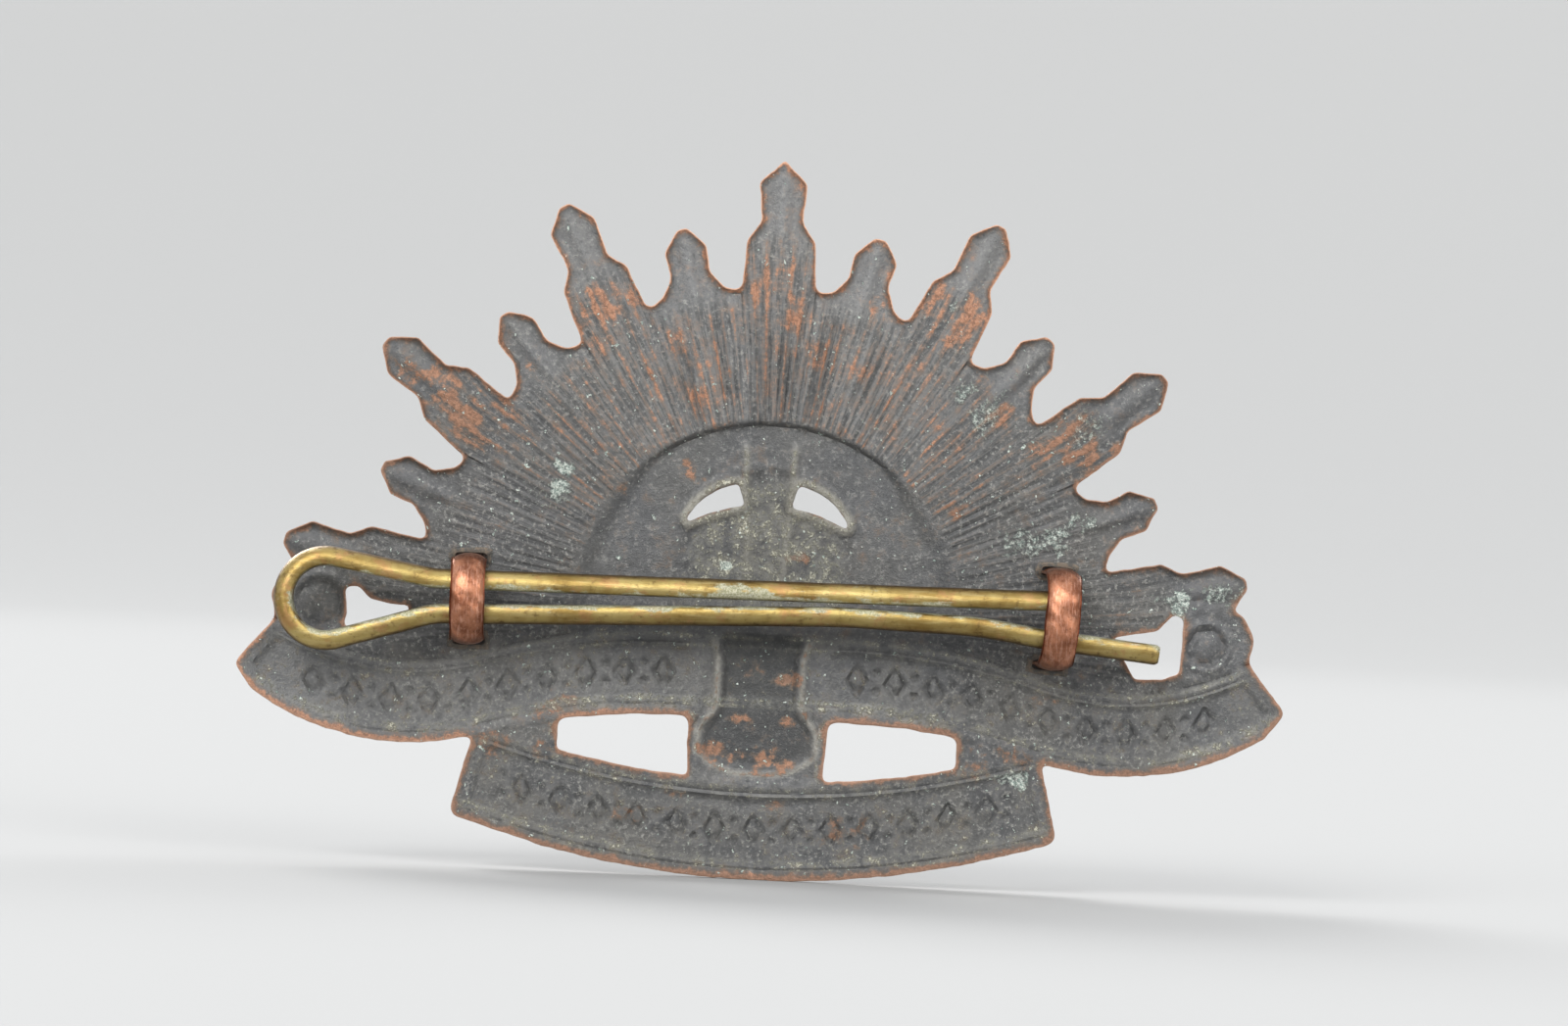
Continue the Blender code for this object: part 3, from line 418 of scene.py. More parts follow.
def fold_rib(x, z):
    """The raised pleats at both sides of the fold, and the lip under it."""
    here = (z - lower_edge(x) > LOWER_HEIGHT) & (z - scroll_edge(x) < SCROLL_HEIGHT - 0.4)
    over = z - fold_foot(x)
    aside = np.abs(x) - fold_half(z)
    pleats = bump(aside, 0.32, 0.19) * ease(over, -0.4, 0.3)
    foot = bump(over, -0.1, 0.17) * ease(aside, 0.6, 0.2)
    return np.maximum(pleats, foot) * here


def fold(x, z, edge, up):
    """Depth of the fold between the scrolls."""
    inside = fold_half(z) - np.abs(x)
    bowl = FOLD_DEPTH * ease(inside, -0.12, 0.3) * ease(z - fold_foot(x), 0.0, 0.5)
    bowl += FOLD_STEP * ease(z, 11.35, 11.75) * ease(inside, 0.1, 0.4)
    side = FOLD_SIDE * ease(edge, 0.2, 0.6)
    side += PLEAT_FALL * bump(inside, -0.85, 0.22) - PLEAT_RISE * bump(inside, -0.32, 0.17)
    depth = np.maximum(side, bowl) * ease(edge, 0.0, 0.35)
    return mix(0.3, depth, ease(up, SCROLL_HEIGHT, SCROLL_HEIGHT - 0.5))


def fold_shade_mask(x, z):
    """Painted shade in the fold's hollow: how dark it is painted."""
    hollow = ease(fold_half(z) - np.abs(x), -0.1, 0.5) * ease(z - fold_foot(x), 0.1, 0.7)
    return hollow * mix(0.7, 0.72, ease(z, 10.8, 11.8)) * mix(1.0, 0.9, ease(z, 9.5, 7.5))


def with_pads(x, z, depth):
    """The relief with level pads under the loops' feet."""
    for layout in (EYE_LOOP, TAIL_LOOP):
        cos, sin = math.cos(layout["turn"]), math.sin(layout["turn"])
        for fx, fz in feet(layout):
            along = (x - fx) * cos + (z - fz) * sin
            rise = (z - fz) * cos - (x - fx) * sin
            past_end = np.maximum(np.abs(along) - PAD_HALF_LENGTH, 0.0)
            past_side = np.maximum(np.abs(rise) - PAD_HALF_WIDTH, 0.0)
            depth = mix(PAD_DEPTH, depth, ease(np.hypot(past_end, past_side), 0.25, 1.0))
    return depth


def relief(x, z, edge, lip):
    """Depth below the rim, with masks for the ridges and for the painted shade in the fold's hollow."""
    up, low = z - scroll_edge(x), z - lower_edge(x)
    fan, ridge = flutes(x, z, edge)
    near_scroll = ease(up, SCROLL_HEIGHT + 2.0, SCROLL_HEIGHT + 0.3)
    fan = mix(fan, 0.22 + 0.03 * value_noise(x, z, 1.1, 5), near_scroll)
    disc = on_sun(x, z)
    depth = mix(fan, sun(x, z), disc)
    ridge = ridge * (1.0 - near_scroll) * (1.0 - disc)

    depth = mix(depth, curl(x, z, edge), ease(np.abs(x), 26.6, 27.6) * (z < CURL_TOP))
    depth = mix(0.34, depth, ease(up, SCROLL_HEIGHT, SCROLL_HEIGHT + mix(0.4, 2.2, disc)))
    depth = np.where((up < SCROLL_HEIGHT) & (up >= 0.0), upper_band(x, up, edge), depth)

    bridge = BRIDGE_DEPTH + 0.05 * value_noise(x, z, 1.2, 9) - 0.07 * bump(np.abs(x), WINDOW_FAR, 0.25)
    depth = np.where((up < 0.0) & (low > LOWER_HEIGHT), bridge * ease(edge, 0.2, 0.6), depth)
    on_fold = (np.abs(x) < WINDOW_NEAR + 0.6) & (low > LOWER_HEIGHT) & (up < SCROLL_HEIGHT)
    share = ease(np.abs(x), WINDOW_NEAR + 0.6, WINDOW_NEAR - 0.2) * on_fold
    depth = mix(depth, fold(x, z, edge, up), share)
    depth = np.where((low <= LOWER_HEIGHT) & (up < 0.0), lower_band(x, low, edge), depth)

    lip_ring = ease(lip, 0.72, 0.36)
    depth = with_pads(x, z, depth - LIP_RISE * lip_ring)
    for gain, raised in ((1.2, fold_rib(x, z)), (0.8, lip_ring), (0.75, crown_rib(x, z))):
        ridge = np.maximum(ridge, gain * raised)
    # the last mask is painted shade in the fold's hollow
    return depth, ridge, np.where(on_fold, fold_shade_mask(x, z), 0.0)


# ---- points of the plate's skin ----
def fan_lines():
    """Points along every crest and hollow of the flutes."""
    found = []
    for ray in range(RAYS_A_SIDE + 1):
        profile = LONG_FLUTES if ray % 2 == 0 else SHORT_FLUTES
        for off, _ in profile:
            for side in (-1, 1):
                for mirror in (-1, 1):
                    for reach in np.arange(12.0, ray_reach(ray), 0.3):
                        found.append(flute_point(mirror * (RAY_PITCH * ray + side * off), reach))
    found = np.array(found)
    clear = np.hypot(found[:, 0], found[:, 1] - SUN_Z) > SUN_RADIUS + 0.1
    clear &= found[:, 1] - scroll_edge(found[:, 0]) > SCROLL_HEIGHT + 0.6
    return found[clear]


def curve_lines():
    """Points along the sun's edge and along each line of the scrolls."""
    found = []
    for radius in (SUN_RADIUS + 0.08, SUN_RADIUS - 0.02, SUN_RADIUS - 0.14, SUN_RADIUS - 0.28):
        for angle in np.arange(-92.0, 92.0, 0.9):
            a = math.radians(angle)
            found.append((radius * math.sin(a), SUN_Z + radius * math.cos(a)))
    for x in np.arange(-33.5, 33.6, 0.25):
        found += [(x, float(scroll_edge(x)) + height) for height, _ in UPPER_BAND[1:]]
        if abs(x) < 20.3:
            found += [(x, float(lower_edge(x)) + height) for height, _ in LOWER_BAND[1:]]
    return np.array(found)


def fill_points(spacing):
    """Staggered rows of points over the whole plate."""
    lo, hi = (np.array(c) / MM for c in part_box("badge_plate"))
    rows = []
    for row, z in enumerate(np.arange(lo[2], hi[2], spacing * 0.866)):
        x = np.arange(lo[0] + (row % 2) * spacing * 0.5, hi[0], spacing)
        rows.append(np.column_stack([x, np.full(len(x), z)]))
    return np.vstack(rows)


def thin(groups, cell=0.1):
    """Keep points in order of priority, each clear of those already kept by its group's distance."""
    kept, taken = [], {}
    for points, clear in groups:
        span = range(-math.ceil(clear / cell), math.ceil(clear / cell) + 1)
        around = [(i, j) for i in span for j in span]
        for x, z in points:
            ix, iz = math.floor(x / cell), math.floor(z / cell)
            near = (spot for i, j in around for spot in taken.get((ix + i, iz + j), ()))
            if all((nx - x) ** 2 + (nz - z) ** 2 >= clear * clear for nx, nz in near):
                taken.setdefault((ix, iz), []).append((x, z))
                kept.append((float(x), float(z)))
    return kept


def inside_loops(points, loops):
    """Even-odd test of every point against all the loops together."""
    x, z = points[:, 0], points[:, 1]
    hit = np.zeros(len(points), bool)
    for loop in loops:
        for (ax, az), (bx, bz) in zip(loop, np.roll(loop, -1, 0)):
            if az != bz:
                cut = (az > z) != (bz > z)
                hit ^= cut & (x < ax + (z - az) * (bx - ax) / (bz - az))
    return hit


def leftward(line, closed=True):
    """Unit vectors to the left of the way along a flat line."""
    ahead = np.roll(line, -1, 0) - np.roll(line, 1, 0) if closed else np.gradient(line, axis=0)
    ahead /= np.linalg.norm(ahead, axis=1)[:, None]
    return np.column_stack([-ahead[:, 1], ahead[:, 0]])


def rings_beside(loops, distance):
    """Each loop moved to both of its sides."""
    return np.vstack([loop + side * leftward(loop) * distance for loop in loops for side in (-1.0, 1.0)])


def distances_to(points, loops):
    """Distance from each point to the nearest of the loops."""
    dense = np.vstack([even_loop(loop, 0.04) for loop in loops])
    tree = KDTree(len(dense))
    for i, (x, z) in enumerate(dense):
        tree.insert((x, 0.0, z), i)
    tree.balance()
    return np.array([tree.find((x, 0.0, z))[2] for x, z in points])


def spots(x, z, table, seed):
    """Soft patches with ragged edges, as a mask from 0 to 1."""
    mask = np.zeros(len(x))
    ragged = 0.35 * value_noise(x, z, 0.9, seed) + 0.25 * value_noise(x, z, 0.4, seed + 1)
    for cx, cz, reach, strength in table:
        turn = math.atan2(cx, cz - SUN_Z) if cz > 22.0 else 0.5 * math.pi
        along = (x - cx) * math.sin(turn) + (z - cz) * math.cos(turn)
        aside = (x - cx) * math.cos(turn) - (z - cz) * math.sin(turn)
        away = np.hypot(0.6 * along, aside) / reach + ragged
        mask = np.maximum(mask, strength * ease(away, 1.0, 0.25))
    return mask


def store(mesh, name, values):
    layer = mesh.attributes.new(name, "FLOAT", "POINT")
    layer.data.foreach_set("value", np.ascontiguousarray(values, np.float32))


def link(name, mesh, look, body, *nodes):
    """Put a mesh in the scene as a piece that rides on a body and stands for CAD nodes."""
    piece = bpy.data.objects.new(name, mesh)
    bpy.context.scene.collection.objects.link(piece)
    mesh.materials.clear()
    mesh.materials.append(look)
    mesh.shade_smooth()
    mesh.set_sharp_from_angle(angle=math.radians(50.0))
    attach(piece, body)
    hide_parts(*nodes)
    return piece


def skin_points(fine):
    """The plate's points: its edges first, then rings inside them, feature lines and a staggered fill."""
    spacing = FINE_SPACING
    groups = [(np.vstack(fine), 0.0)]
    for points, clear in ((rings_beside(fine, 0.07), 0.055), (rings_beside(fine, 0.2), 0.1),
                          (curve_lines(), 0.12), (fan_lines(), 0.1), (fill_points(spacing), 0.7 * spacing)):
        groups.append((points[inside_loops(points, fine)], clear))
    return thin(groups)


def flat_skin(fine):
    """The plate's outline filled with triangles: flat points and their triples."""
    edges, first = [], 0
    for loop in fine:
        edges += [(first + i, first + (i + 1) % len(loop)) for i in range(len(loop))]
        first += len(loop)
    found = delaunay_2d_cdt(skin_points(fine), edges, [], 0, 1e-6, False)
    flat = np.array([tuple(co) for co in found[0]])
    faces = np.array(found[2])
    faces = faces[inside_loops(flat[faces].mean(1), fine)]
    used, index = np.unique(faces, return_inverse=True)
    flat, faces = flat[used], index.reshape(-1, 3)
    a, b, c = (flat[faces[:, i]] for i in range(3))
    turn = (b[:, 0] - a[:, 0]) * (c[:, 1] - a[:, 1]) - (b[:, 1] - a[:, 1]) * (c[:, 0] - a[:, 0])
    faces[turn > 0] = faces[turn > 0][:, ::-1]
    return flat, faces


def sheet_mesh(name, flat, faces, back, front):
    """A sheet between two depths: both faces of the same triangles, joined round every edge."""
    count = len(flat)
    verts = np.vstack([np.column_stack([flat[:, 0], y, flat[:, 1]]) for y in (back, front)]) * MM
    sides = {(face[i], face[(i + 1) % 3]) for face in faces.tolist() for i in range(3)}
    walls = [(j, i, i + count, j + count) for i, j in sorted(sides) if (j, i) not in sides]
    mesh = bpy.data.meshes.new(name)
    mesh.from_pydata(verts.tolist(), [], faces.tolist() + (faces[:, ::-1] + count).tolist() + walls)
    return mesh


# ---- masks that the plate's look reads ----
def grit_mask(x, z, edge, lip):
    """Where dirt has stayed: along the borders, round the voids and over the crown."""
    up, low = z - scroll_edge(x), z - lower_edge(x)
    mask = np.maximum(0.8 * bump(lip, 0.0, 0.7), 0.61 * ease(crown_inside(x, z), -0.4, 1.6))
    on_upper = (up > -0.1) & (up < SCROLL_HEIGHT + 0.3)
    on_lower = (up < 0.0) & (low < LOWER_HEIGHT)
    for height, here, lines in ((up, on_upper, UPPER_GRIT), (low, on_lower, LOWER_GRIT)):
        for line in lines:
            mask = np.maximum(mask, 0.62 * bump(height, line, 0.2) * here)
        mask = np.maximum(mask, 0.37 * here * (height > 1.0))
    on_window = (np.abs(x) > 3.6) & (np.abs(x) < 14.5) & (z > 0.8) & (z < 12.0)
    mask = np.maximum(mask, 0.65 * bump(edge, 0.45, 0.22) * on_window)
    mask = np.maximum(mask, 0.7 * crown_rib(x, z))
    return mask * ease(edge, 0.05, mix(0.1, 0.35, ease(lip, 0.1, 0.4)))


def off_sun(x, z):
    return ease(np.hypot(x, z - SUN_Z), SUN_RADIUS - 0.1, SUN_RADIUS + 0.2)


def on_flutes(x, z):
    """The fluted part of the fan."""
    ray, _, reach = fan_place(x, z)
    above = ease(z - scroll_edge(x), SCROLL_HEIGHT + 0.4, SCROLL_HEIGHT + 1.2)
    above = above * ((np.abs(x) < 27.0) | (z > CURL_TOP))
    return above * off_sun(x, z) * ease(reach, ray_reach(ray) - 4.0, ray_reach(ray) - 6.0)


def smooth_metal(x, z):
    """Smoother metal on the sun's disc and on the rays' heads."""
    ray, _, reach = fan_place(x, z)
    on_disc = ease(np.hypot(x, z - SUN_Z), SUN_RADIUS, SUN_RADIUS - 0.5)
    on_disc = on_disc * ease(crown_inside(x, z), 0.5, -0.5)
    return np.maximum(on_disc, 0.8 * ease(reach, ray_reach(ray) - 6.0, ray_reach(ray) - 4.0))


def top_light_mask(x, z, fluted):
    """Painted light: where the badge is painted paler and its copper brighter, as if lit from above and from
    one side: the upper fan, and one side's scroll.
    """
    on_fan = off_sun(x, z) * ease(np.abs(fan_angle(x, z)), 66.0, 8.0) * mix(1.0, 0.88, fluted)
    on_band = (z > scroll_edge(x)) & (z < scroll_edge(x) + SCROLL_HEIGHT)
    return np.maximum(on_fan, 0.36 * on_band * ease(x, 7.0, 13.0))


def edge_wear(x, z, edge, lip):
    """Bare metal along the plate's edges, wider round the scrolls."""
    beside_scroll = np.minimum(np.abs(z - scroll_edge(x)), np.abs(z - lower_edge(x))) < 0.9
    width = np.where(beside_scroll, WIDE_WEAR, NARROW_WEAR)
    return np.exp(-edge / width) * mix(0.3, 1.0, ease(lip, 0.1, 0.4))


def plate_masks(x, z, edge, lip, depth):
    """The masks that don't come with the relief, as the back shows them."""
    fluted = on_flutes(x, z)
    streaked = 0.36 * fluted * ease(np.abs(fan_angle(x, z)), 66.0, 44.0)
    ribs = np.maximum(0.55 * crown_rib(x, z), 0.7 * fold_rib(x, z))
    return {"rim": edge_wear(x, z, edge, lip),
            "copper": np.maximum(spots(x, z, COPPER_SPOTS, 21), streaked),
            "bloom": spots(x, z, BLOOM_SPOTS, 31),
            "grit": grit_mask(x, z, edge, lip),
            # darker where the back's relief lies deeper
            "groove": ease(depth, 0.26, 0.42),
            "fan_angle": fan_angle(x, z),
            "fan_reach": np.hypot(x, z - FAN_Z),
            "sheen": smooth_metal(x, z),
            "streaky": fluted,
            # painted light: the upper fan and one side's scroll painted paler, on the back and the front
            "upper_fan": top_light_mask(x, z, fluted),
            "lip": np.maximum(ease(lip, 0.6, 0.34), ribs)}


def front_masks(masks, depth):
    """The masks that differ on the front, where the hollows of the back stand high."""
    raised = ease(depth, 0.28, 0.46)
    return {"ridge": raised * (0.8 * masks["streaky"] + 0.25),
            "groove": ease(depth, 0.14, 0.03),
            "copper": np.maximum(0.5 * masks["copper"], 0.42 * raised),
            "bloom": 0.4 * masks["bloom"],
            "grit": 0.45 * masks["grit"],
            # no painted shade in the fold on the front
            "soot": np.zeros(len(depth))}


def plate_mesh():
    """The struck plate: its skin, its relief, and the masks that its look reads."""
    fine = [clipped_loop(loop, OUTLINE_SPACING) for loop in back_outlines()]
    voids = [loop for loop in fine[1:] if crown_inside(*loop.mean(0)) > 0.0]
    flat, faces = flat_skin(fine)
    x, z = flat.T
    edge, lip = distances_to(flat, fine), distances_to(flat, voids)
    depth, ridge, soot = relief(x, z, edge, lip)
    soft = 0.022 * value_noise(x, z, 0.8, 11) + 0.03 * value_noise(x, z, 3.1, 13)
    soft = soft + 0.014 * value_noise(x, z, 0.36, 17)
    depth = depth + soft * ease(edge, 0.05, 0.6)
    burr = BURR * ease(edge, 0.06, 0.0)
    sunk = np.maximum(depth, 0.0)
    mesh = sheet_mesh("struck_plate", flat, faces, -sunk - burr, burr - SHEET - RELIEF_GAIN * sunk)

    # the fold mask carries painted shade in the fold's hollow
    masks = {"ridge": ridge, "soot": soot, **plate_masks(x, z, edge, lip, depth)}
    front = front_masks(masks, depth)
    for name, values in masks.items():
        store(mesh, name, np.concatenate([values, front.get(name, values)]))
    return mesh


# ---- sweeps for the loops and the pin ----
def sweep_mesh(name, sections, ring=False):
    """Skin equal closed sections, given in millimetres: end to end as a ring, or with both ends capped."""
    count, total = len(sections[0]), len(sections)
    verts = [tuple(np.array(p) * MM) for section in sections for p in section]
    faces = []
    for k in range(total if ring else total - 1):
        here, there = k * count, (k + 1) % total * count
        for i in range(count):
            j = (i + 1) % count
            faces.append((here + i, here + j, there + j, there + i))
    if not ring:
        faces.append(tuple(range(count))[::-1])
        faces.append(tuple((total - 1) * count + i for i in range(count)))
    mesh = bpy.data.meshes.new(name)
    mesh.from_pydata(verts, [], faces)
    bm = bmesh.new()
    bm.from_mesh(mesh)
    bmesh.ops.recalc_face_normals(bm, faces=bm.faces[:])
    bm.to_mesh(mesh)
    bm.free()
    return mesh


def even_path(path, spacing):
    along = np.concatenate([[0.0], np.cumsum(np.linalg.norm(np.diff(path, axis=0), axis=1))])
    places = np.linspace(0.0, along[-1], int(along[-1] / spacing) + 1)
    return np.column_stack([np.interp(places, along, path[:, k]) for k in (0, 1)])


# The split pin, as places from the middle of its eye
WIRE_WIDTH, NECK_RADIUS = 1.34, 5.0
UPPER_NECK, UPPER_END, LOWER_NECK = (-7.2, 1.65), (-50.1, 2.15), (-7.2, -0.7)
TAIL_END, LOWER_BENDS = (-55.7, -1.12), ((-47.8, -0.4), (-43.7, 0.2), (-34.4, 0.4))
LOWER_RADII = (20.0, 25.0, 60.0, NECK_RADIUS)
STRIP_HALF, STRIP_THICK, STRIP_DOME, STRIP_CORNER = 1.12, 0.56, 0.26, 2.35


def rounded(angle, wide_power, deep_power):
    """A point of a soft-cornered square with half-sides of 1."""
    c, s = math.cos(angle), math.sin(angle)
    return math.copysign(abs(c) ** wide_power, c), math.copysign(abs(s) ** deep_power, s)


def strip_section():
    """(across, out) round a half-round strip with soft edges."""
    points = []
    for i in range(40):
        wide, out = rounded(2.0 * math.pi * i / 40, 0.6, 0.7)
        dome = STRIP_DOME * wide ** 2 if out > 0 else 0.0
        points.append((STRIP_HALF * wide, 0.5 * STRIP_THICK * out - dome))
    return points


def strip_loop(name, layout):
    """The arch of one loop: up from a foot, round two corners and down to the other foot."""
    reach, foot, corner = layout["reach"], layout["foot"], STRIP_CORNER
    top = layout["top"] - 0.5 * STRIP_THICK
    half = [(reach, foot)]
    for a in np.radians(np.linspace(0.0, 90.0, 19)):
        half.append((reach - corner + corner * math.cos(a), top - corner + corner * math.sin(a)))
    path = even_path(np.array(half + [(-u, y) for u, y in half[::-1]]), 0.12)
    sections = []
    cos, sin = math.cos(layout["turn"]), math.sin(layout["turn"])
    for k, ((up, y), (nu, ny)) in enumerate(zip(path, leftward(path, closed=False))):
        section = []
        middle_share = 1.0 - abs(2.0 * k / (len(path) - 1) - 1.0)
        widen = 0.93 + 0.1 * min(1.0, 2.0 * middle_share) + 0.02 * math.sin(k * 0.21 + 1.0)
        for wide, out in strip_section():
            dent = 0.02 * math.sin(k * 0.31 + wide * 2.0) + 0.012 * math.sin(k * 0.83 + wide * 5.0)
            out += dent if out > 0 else 0.0
            b, height = up - nu * out, y - ny * out
            lean = layout["lean"] * (height - foot)
            section.append((layout["middle"][0] + wide * widen * cos - b * sin + lean, height,
                            layout["middle"][2] + wide * widen * sin + b * cos))
        sections.append(section)
    return sweep_mesh(name, sections)


# Rings of a braze fillet: how far out of the strip, how high up it
FILLET_RINGS = ((0.0, 0.0), (1.0, 0.0), (1.0, 0.05), (0.68, 0.14), (0.4, 0.32), (0.18, 0.62), (0.06, 0.9),
                (0.0, 0.86))
FILLET_REACH, FILLET_RISE = 0.36, 0.5


def braze_collar(name, layout, foot, seed):
    """Uneven fillet of filler metal round one foot."""
    cos, sin = math.cos(layout["turn"]), math.sin(layout["turn"])
    half_w, half_h = STRIP_HALF * 0.93 + 0.03, 0.5 * STRIP_THICK + 0.03
    rings = []
    for out, rise in FILLET_RINGS:
        section = []
        for a in 2.0 * math.pi * np.arange(48) / 48:
            wave = 1.0 + 0.16 * math.sin(3 * a + seed) + 0.1 * math.sin(7 * a + 2.0 * seed)
            grow = FILLET_REACH * out * wave
            wide, deep = rounded(a, 0.35, 0.6)
            w, h = (half_w + grow) * wide, (half_h + grow) * deep
            height = layout["foot"] + FILLET_RISE * rise * (0.9 + 0.1 * wave)
            lean = layout["lean"] * (height - layout["foot"])
            section.append((foot[0] + w * cos - h * sin + lean, height, foot[1] + w * sin + h * cos))
        rings.append(section)
    return sweep_mesh(name, rings, ring=True)


def direction(a, b):
    return (b - a) / np.linalg.norm(b - a)


def bend(before, corner, after, radius):
    """Points of the arc that rounds a corner."""
    a, b = direction(corner, before), direction(corner, after)
    half = 0.5 * math.acos(float(np.clip(a @ b, -1.0, 1.0)))
    shorter = min(np.linalg.norm(before - corner), np.linalg.norm(after - corner))
    back = min(radius / math.tan(half), 0.48 * shorter)
    radius = back * math.tan(half)
    centre = corner + (a + b) / np.linalg.norm(a + b) * math.hypot(back, radius)
    start, end = corner + a * back - centre, corner + b * back - centre
    first = math.atan2(start[1], start[0])
    sweep = (math.atan2(end[1], end[0]) - first + math.pi) % (2.0 * math.pi) - math.pi
    angles = first + sweep * np.linspace(0.0, 1.0, 12)
    return [centre + radius * np.array([math.cos(a), math.sin(a)]) for a in angles]


def pin_path(lo, hi):
    """Middle line of the pin's wire: tail, lower leg, round the eye, upper leg."""
    radius = 0.5 * (hi[2] - lo[2] - WIRE_WIDTH)
    eye = np.array([hi[0] - 0.5 * WIRE_WIDTH - radius, 0.5 * (lo[2] + hi[2])])
    upper_neck, lower_neck = eye + UPPER_NECK, eye + LOWER_NECK

    def touch(neck, side):
        away = neck - eye
        return math.atan2(away[1], away[0]) + side * math.acos(radius / np.linalg.norm(away))

    angles = np.linspace(touch(lower_neck, 1.0), touch(upper_neck, -1.0), 60)
    ring = [eye + radius * np.array([math.cos(a), math.sin(a)]) for a in angles]
    lower = [eye + np.array(spot) for spot in (TAIL_END, *LOWER_BENDS)] + [lower_neck]
    path = [lower[0]]
    corners = list(zip(lower, lower[1:], lower[2:] + ring[:1], LOWER_RADII))
    for before, corner, after, radius_here in corners:
        path += bend(before, corner, after, radius_here)
    path += ring
    upper_end = eye + np.array(UPPER_END)
    path += bend(ring[-1], upper_neck, upper_end, NECK_RADIUS) + [upper_end]
    return even_path(np.array(path), 0.15)


def split_pin_mesh():
    lo, hi = (np.array(c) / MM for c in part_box("split_pin"))
    path = pin_path(lo, hi)
    half_depth, middle = 0.5 * (hi[1] - lo[1]), 0.5 * (hi[1] + lo[1])
    sections, inner, side_shade = [], [], []
    last = len(path) - 1
    for k, ((x, z), (nx, nz)) in enumerate(zip(path, leftward(path, closed=False))):
        end = min(k, last - k)
        squeeze = (0.8, 0.95)[end] if end < 2 else 1.0
        section = []
        crusted = math.exp(-((x - 1.5) / 3.2) ** 2) if 2 * k > last else 0.0
        for i in range(36):
            a = 2.0 * math.pi * i / 36
            out = math.cos(a) if math.cos(a) > -0.45 else -0.45 + 0.25 * (math.cos(a) + 0.45)
            ripple = 1.0 + 0.008 * math.sin(0.17 * k + 3.0 * a) + 0.006 * math.sin(0.45 * k)
            across_out = (out - 0.206) / 0.794 * 0.5 * WIRE_WIDTH * squeeze * ripple
            section.append((x - nx * across_out, middle + half_depth * math.sin(a) * squeeze * ripple,
                            z - nz * across_out))
            inner.append(max(ramp(math.cos(a), 0.1, -0.5), crusted * ramp(math.cos(a), 0.95, 0.3)))
            # painted shade on the wire's sides and underside, none on the crown that faces the badge's back
            side_shade.append(ramp(math.sin(a), 0.86, 0.15))
        sections.append(section)
    mesh = sweep_mesh("pin_wire", sections)
    store(mesh, "inner", np.array(inner))
    store(mesh, "side_shade", np.array(side_shade))
    return mesh


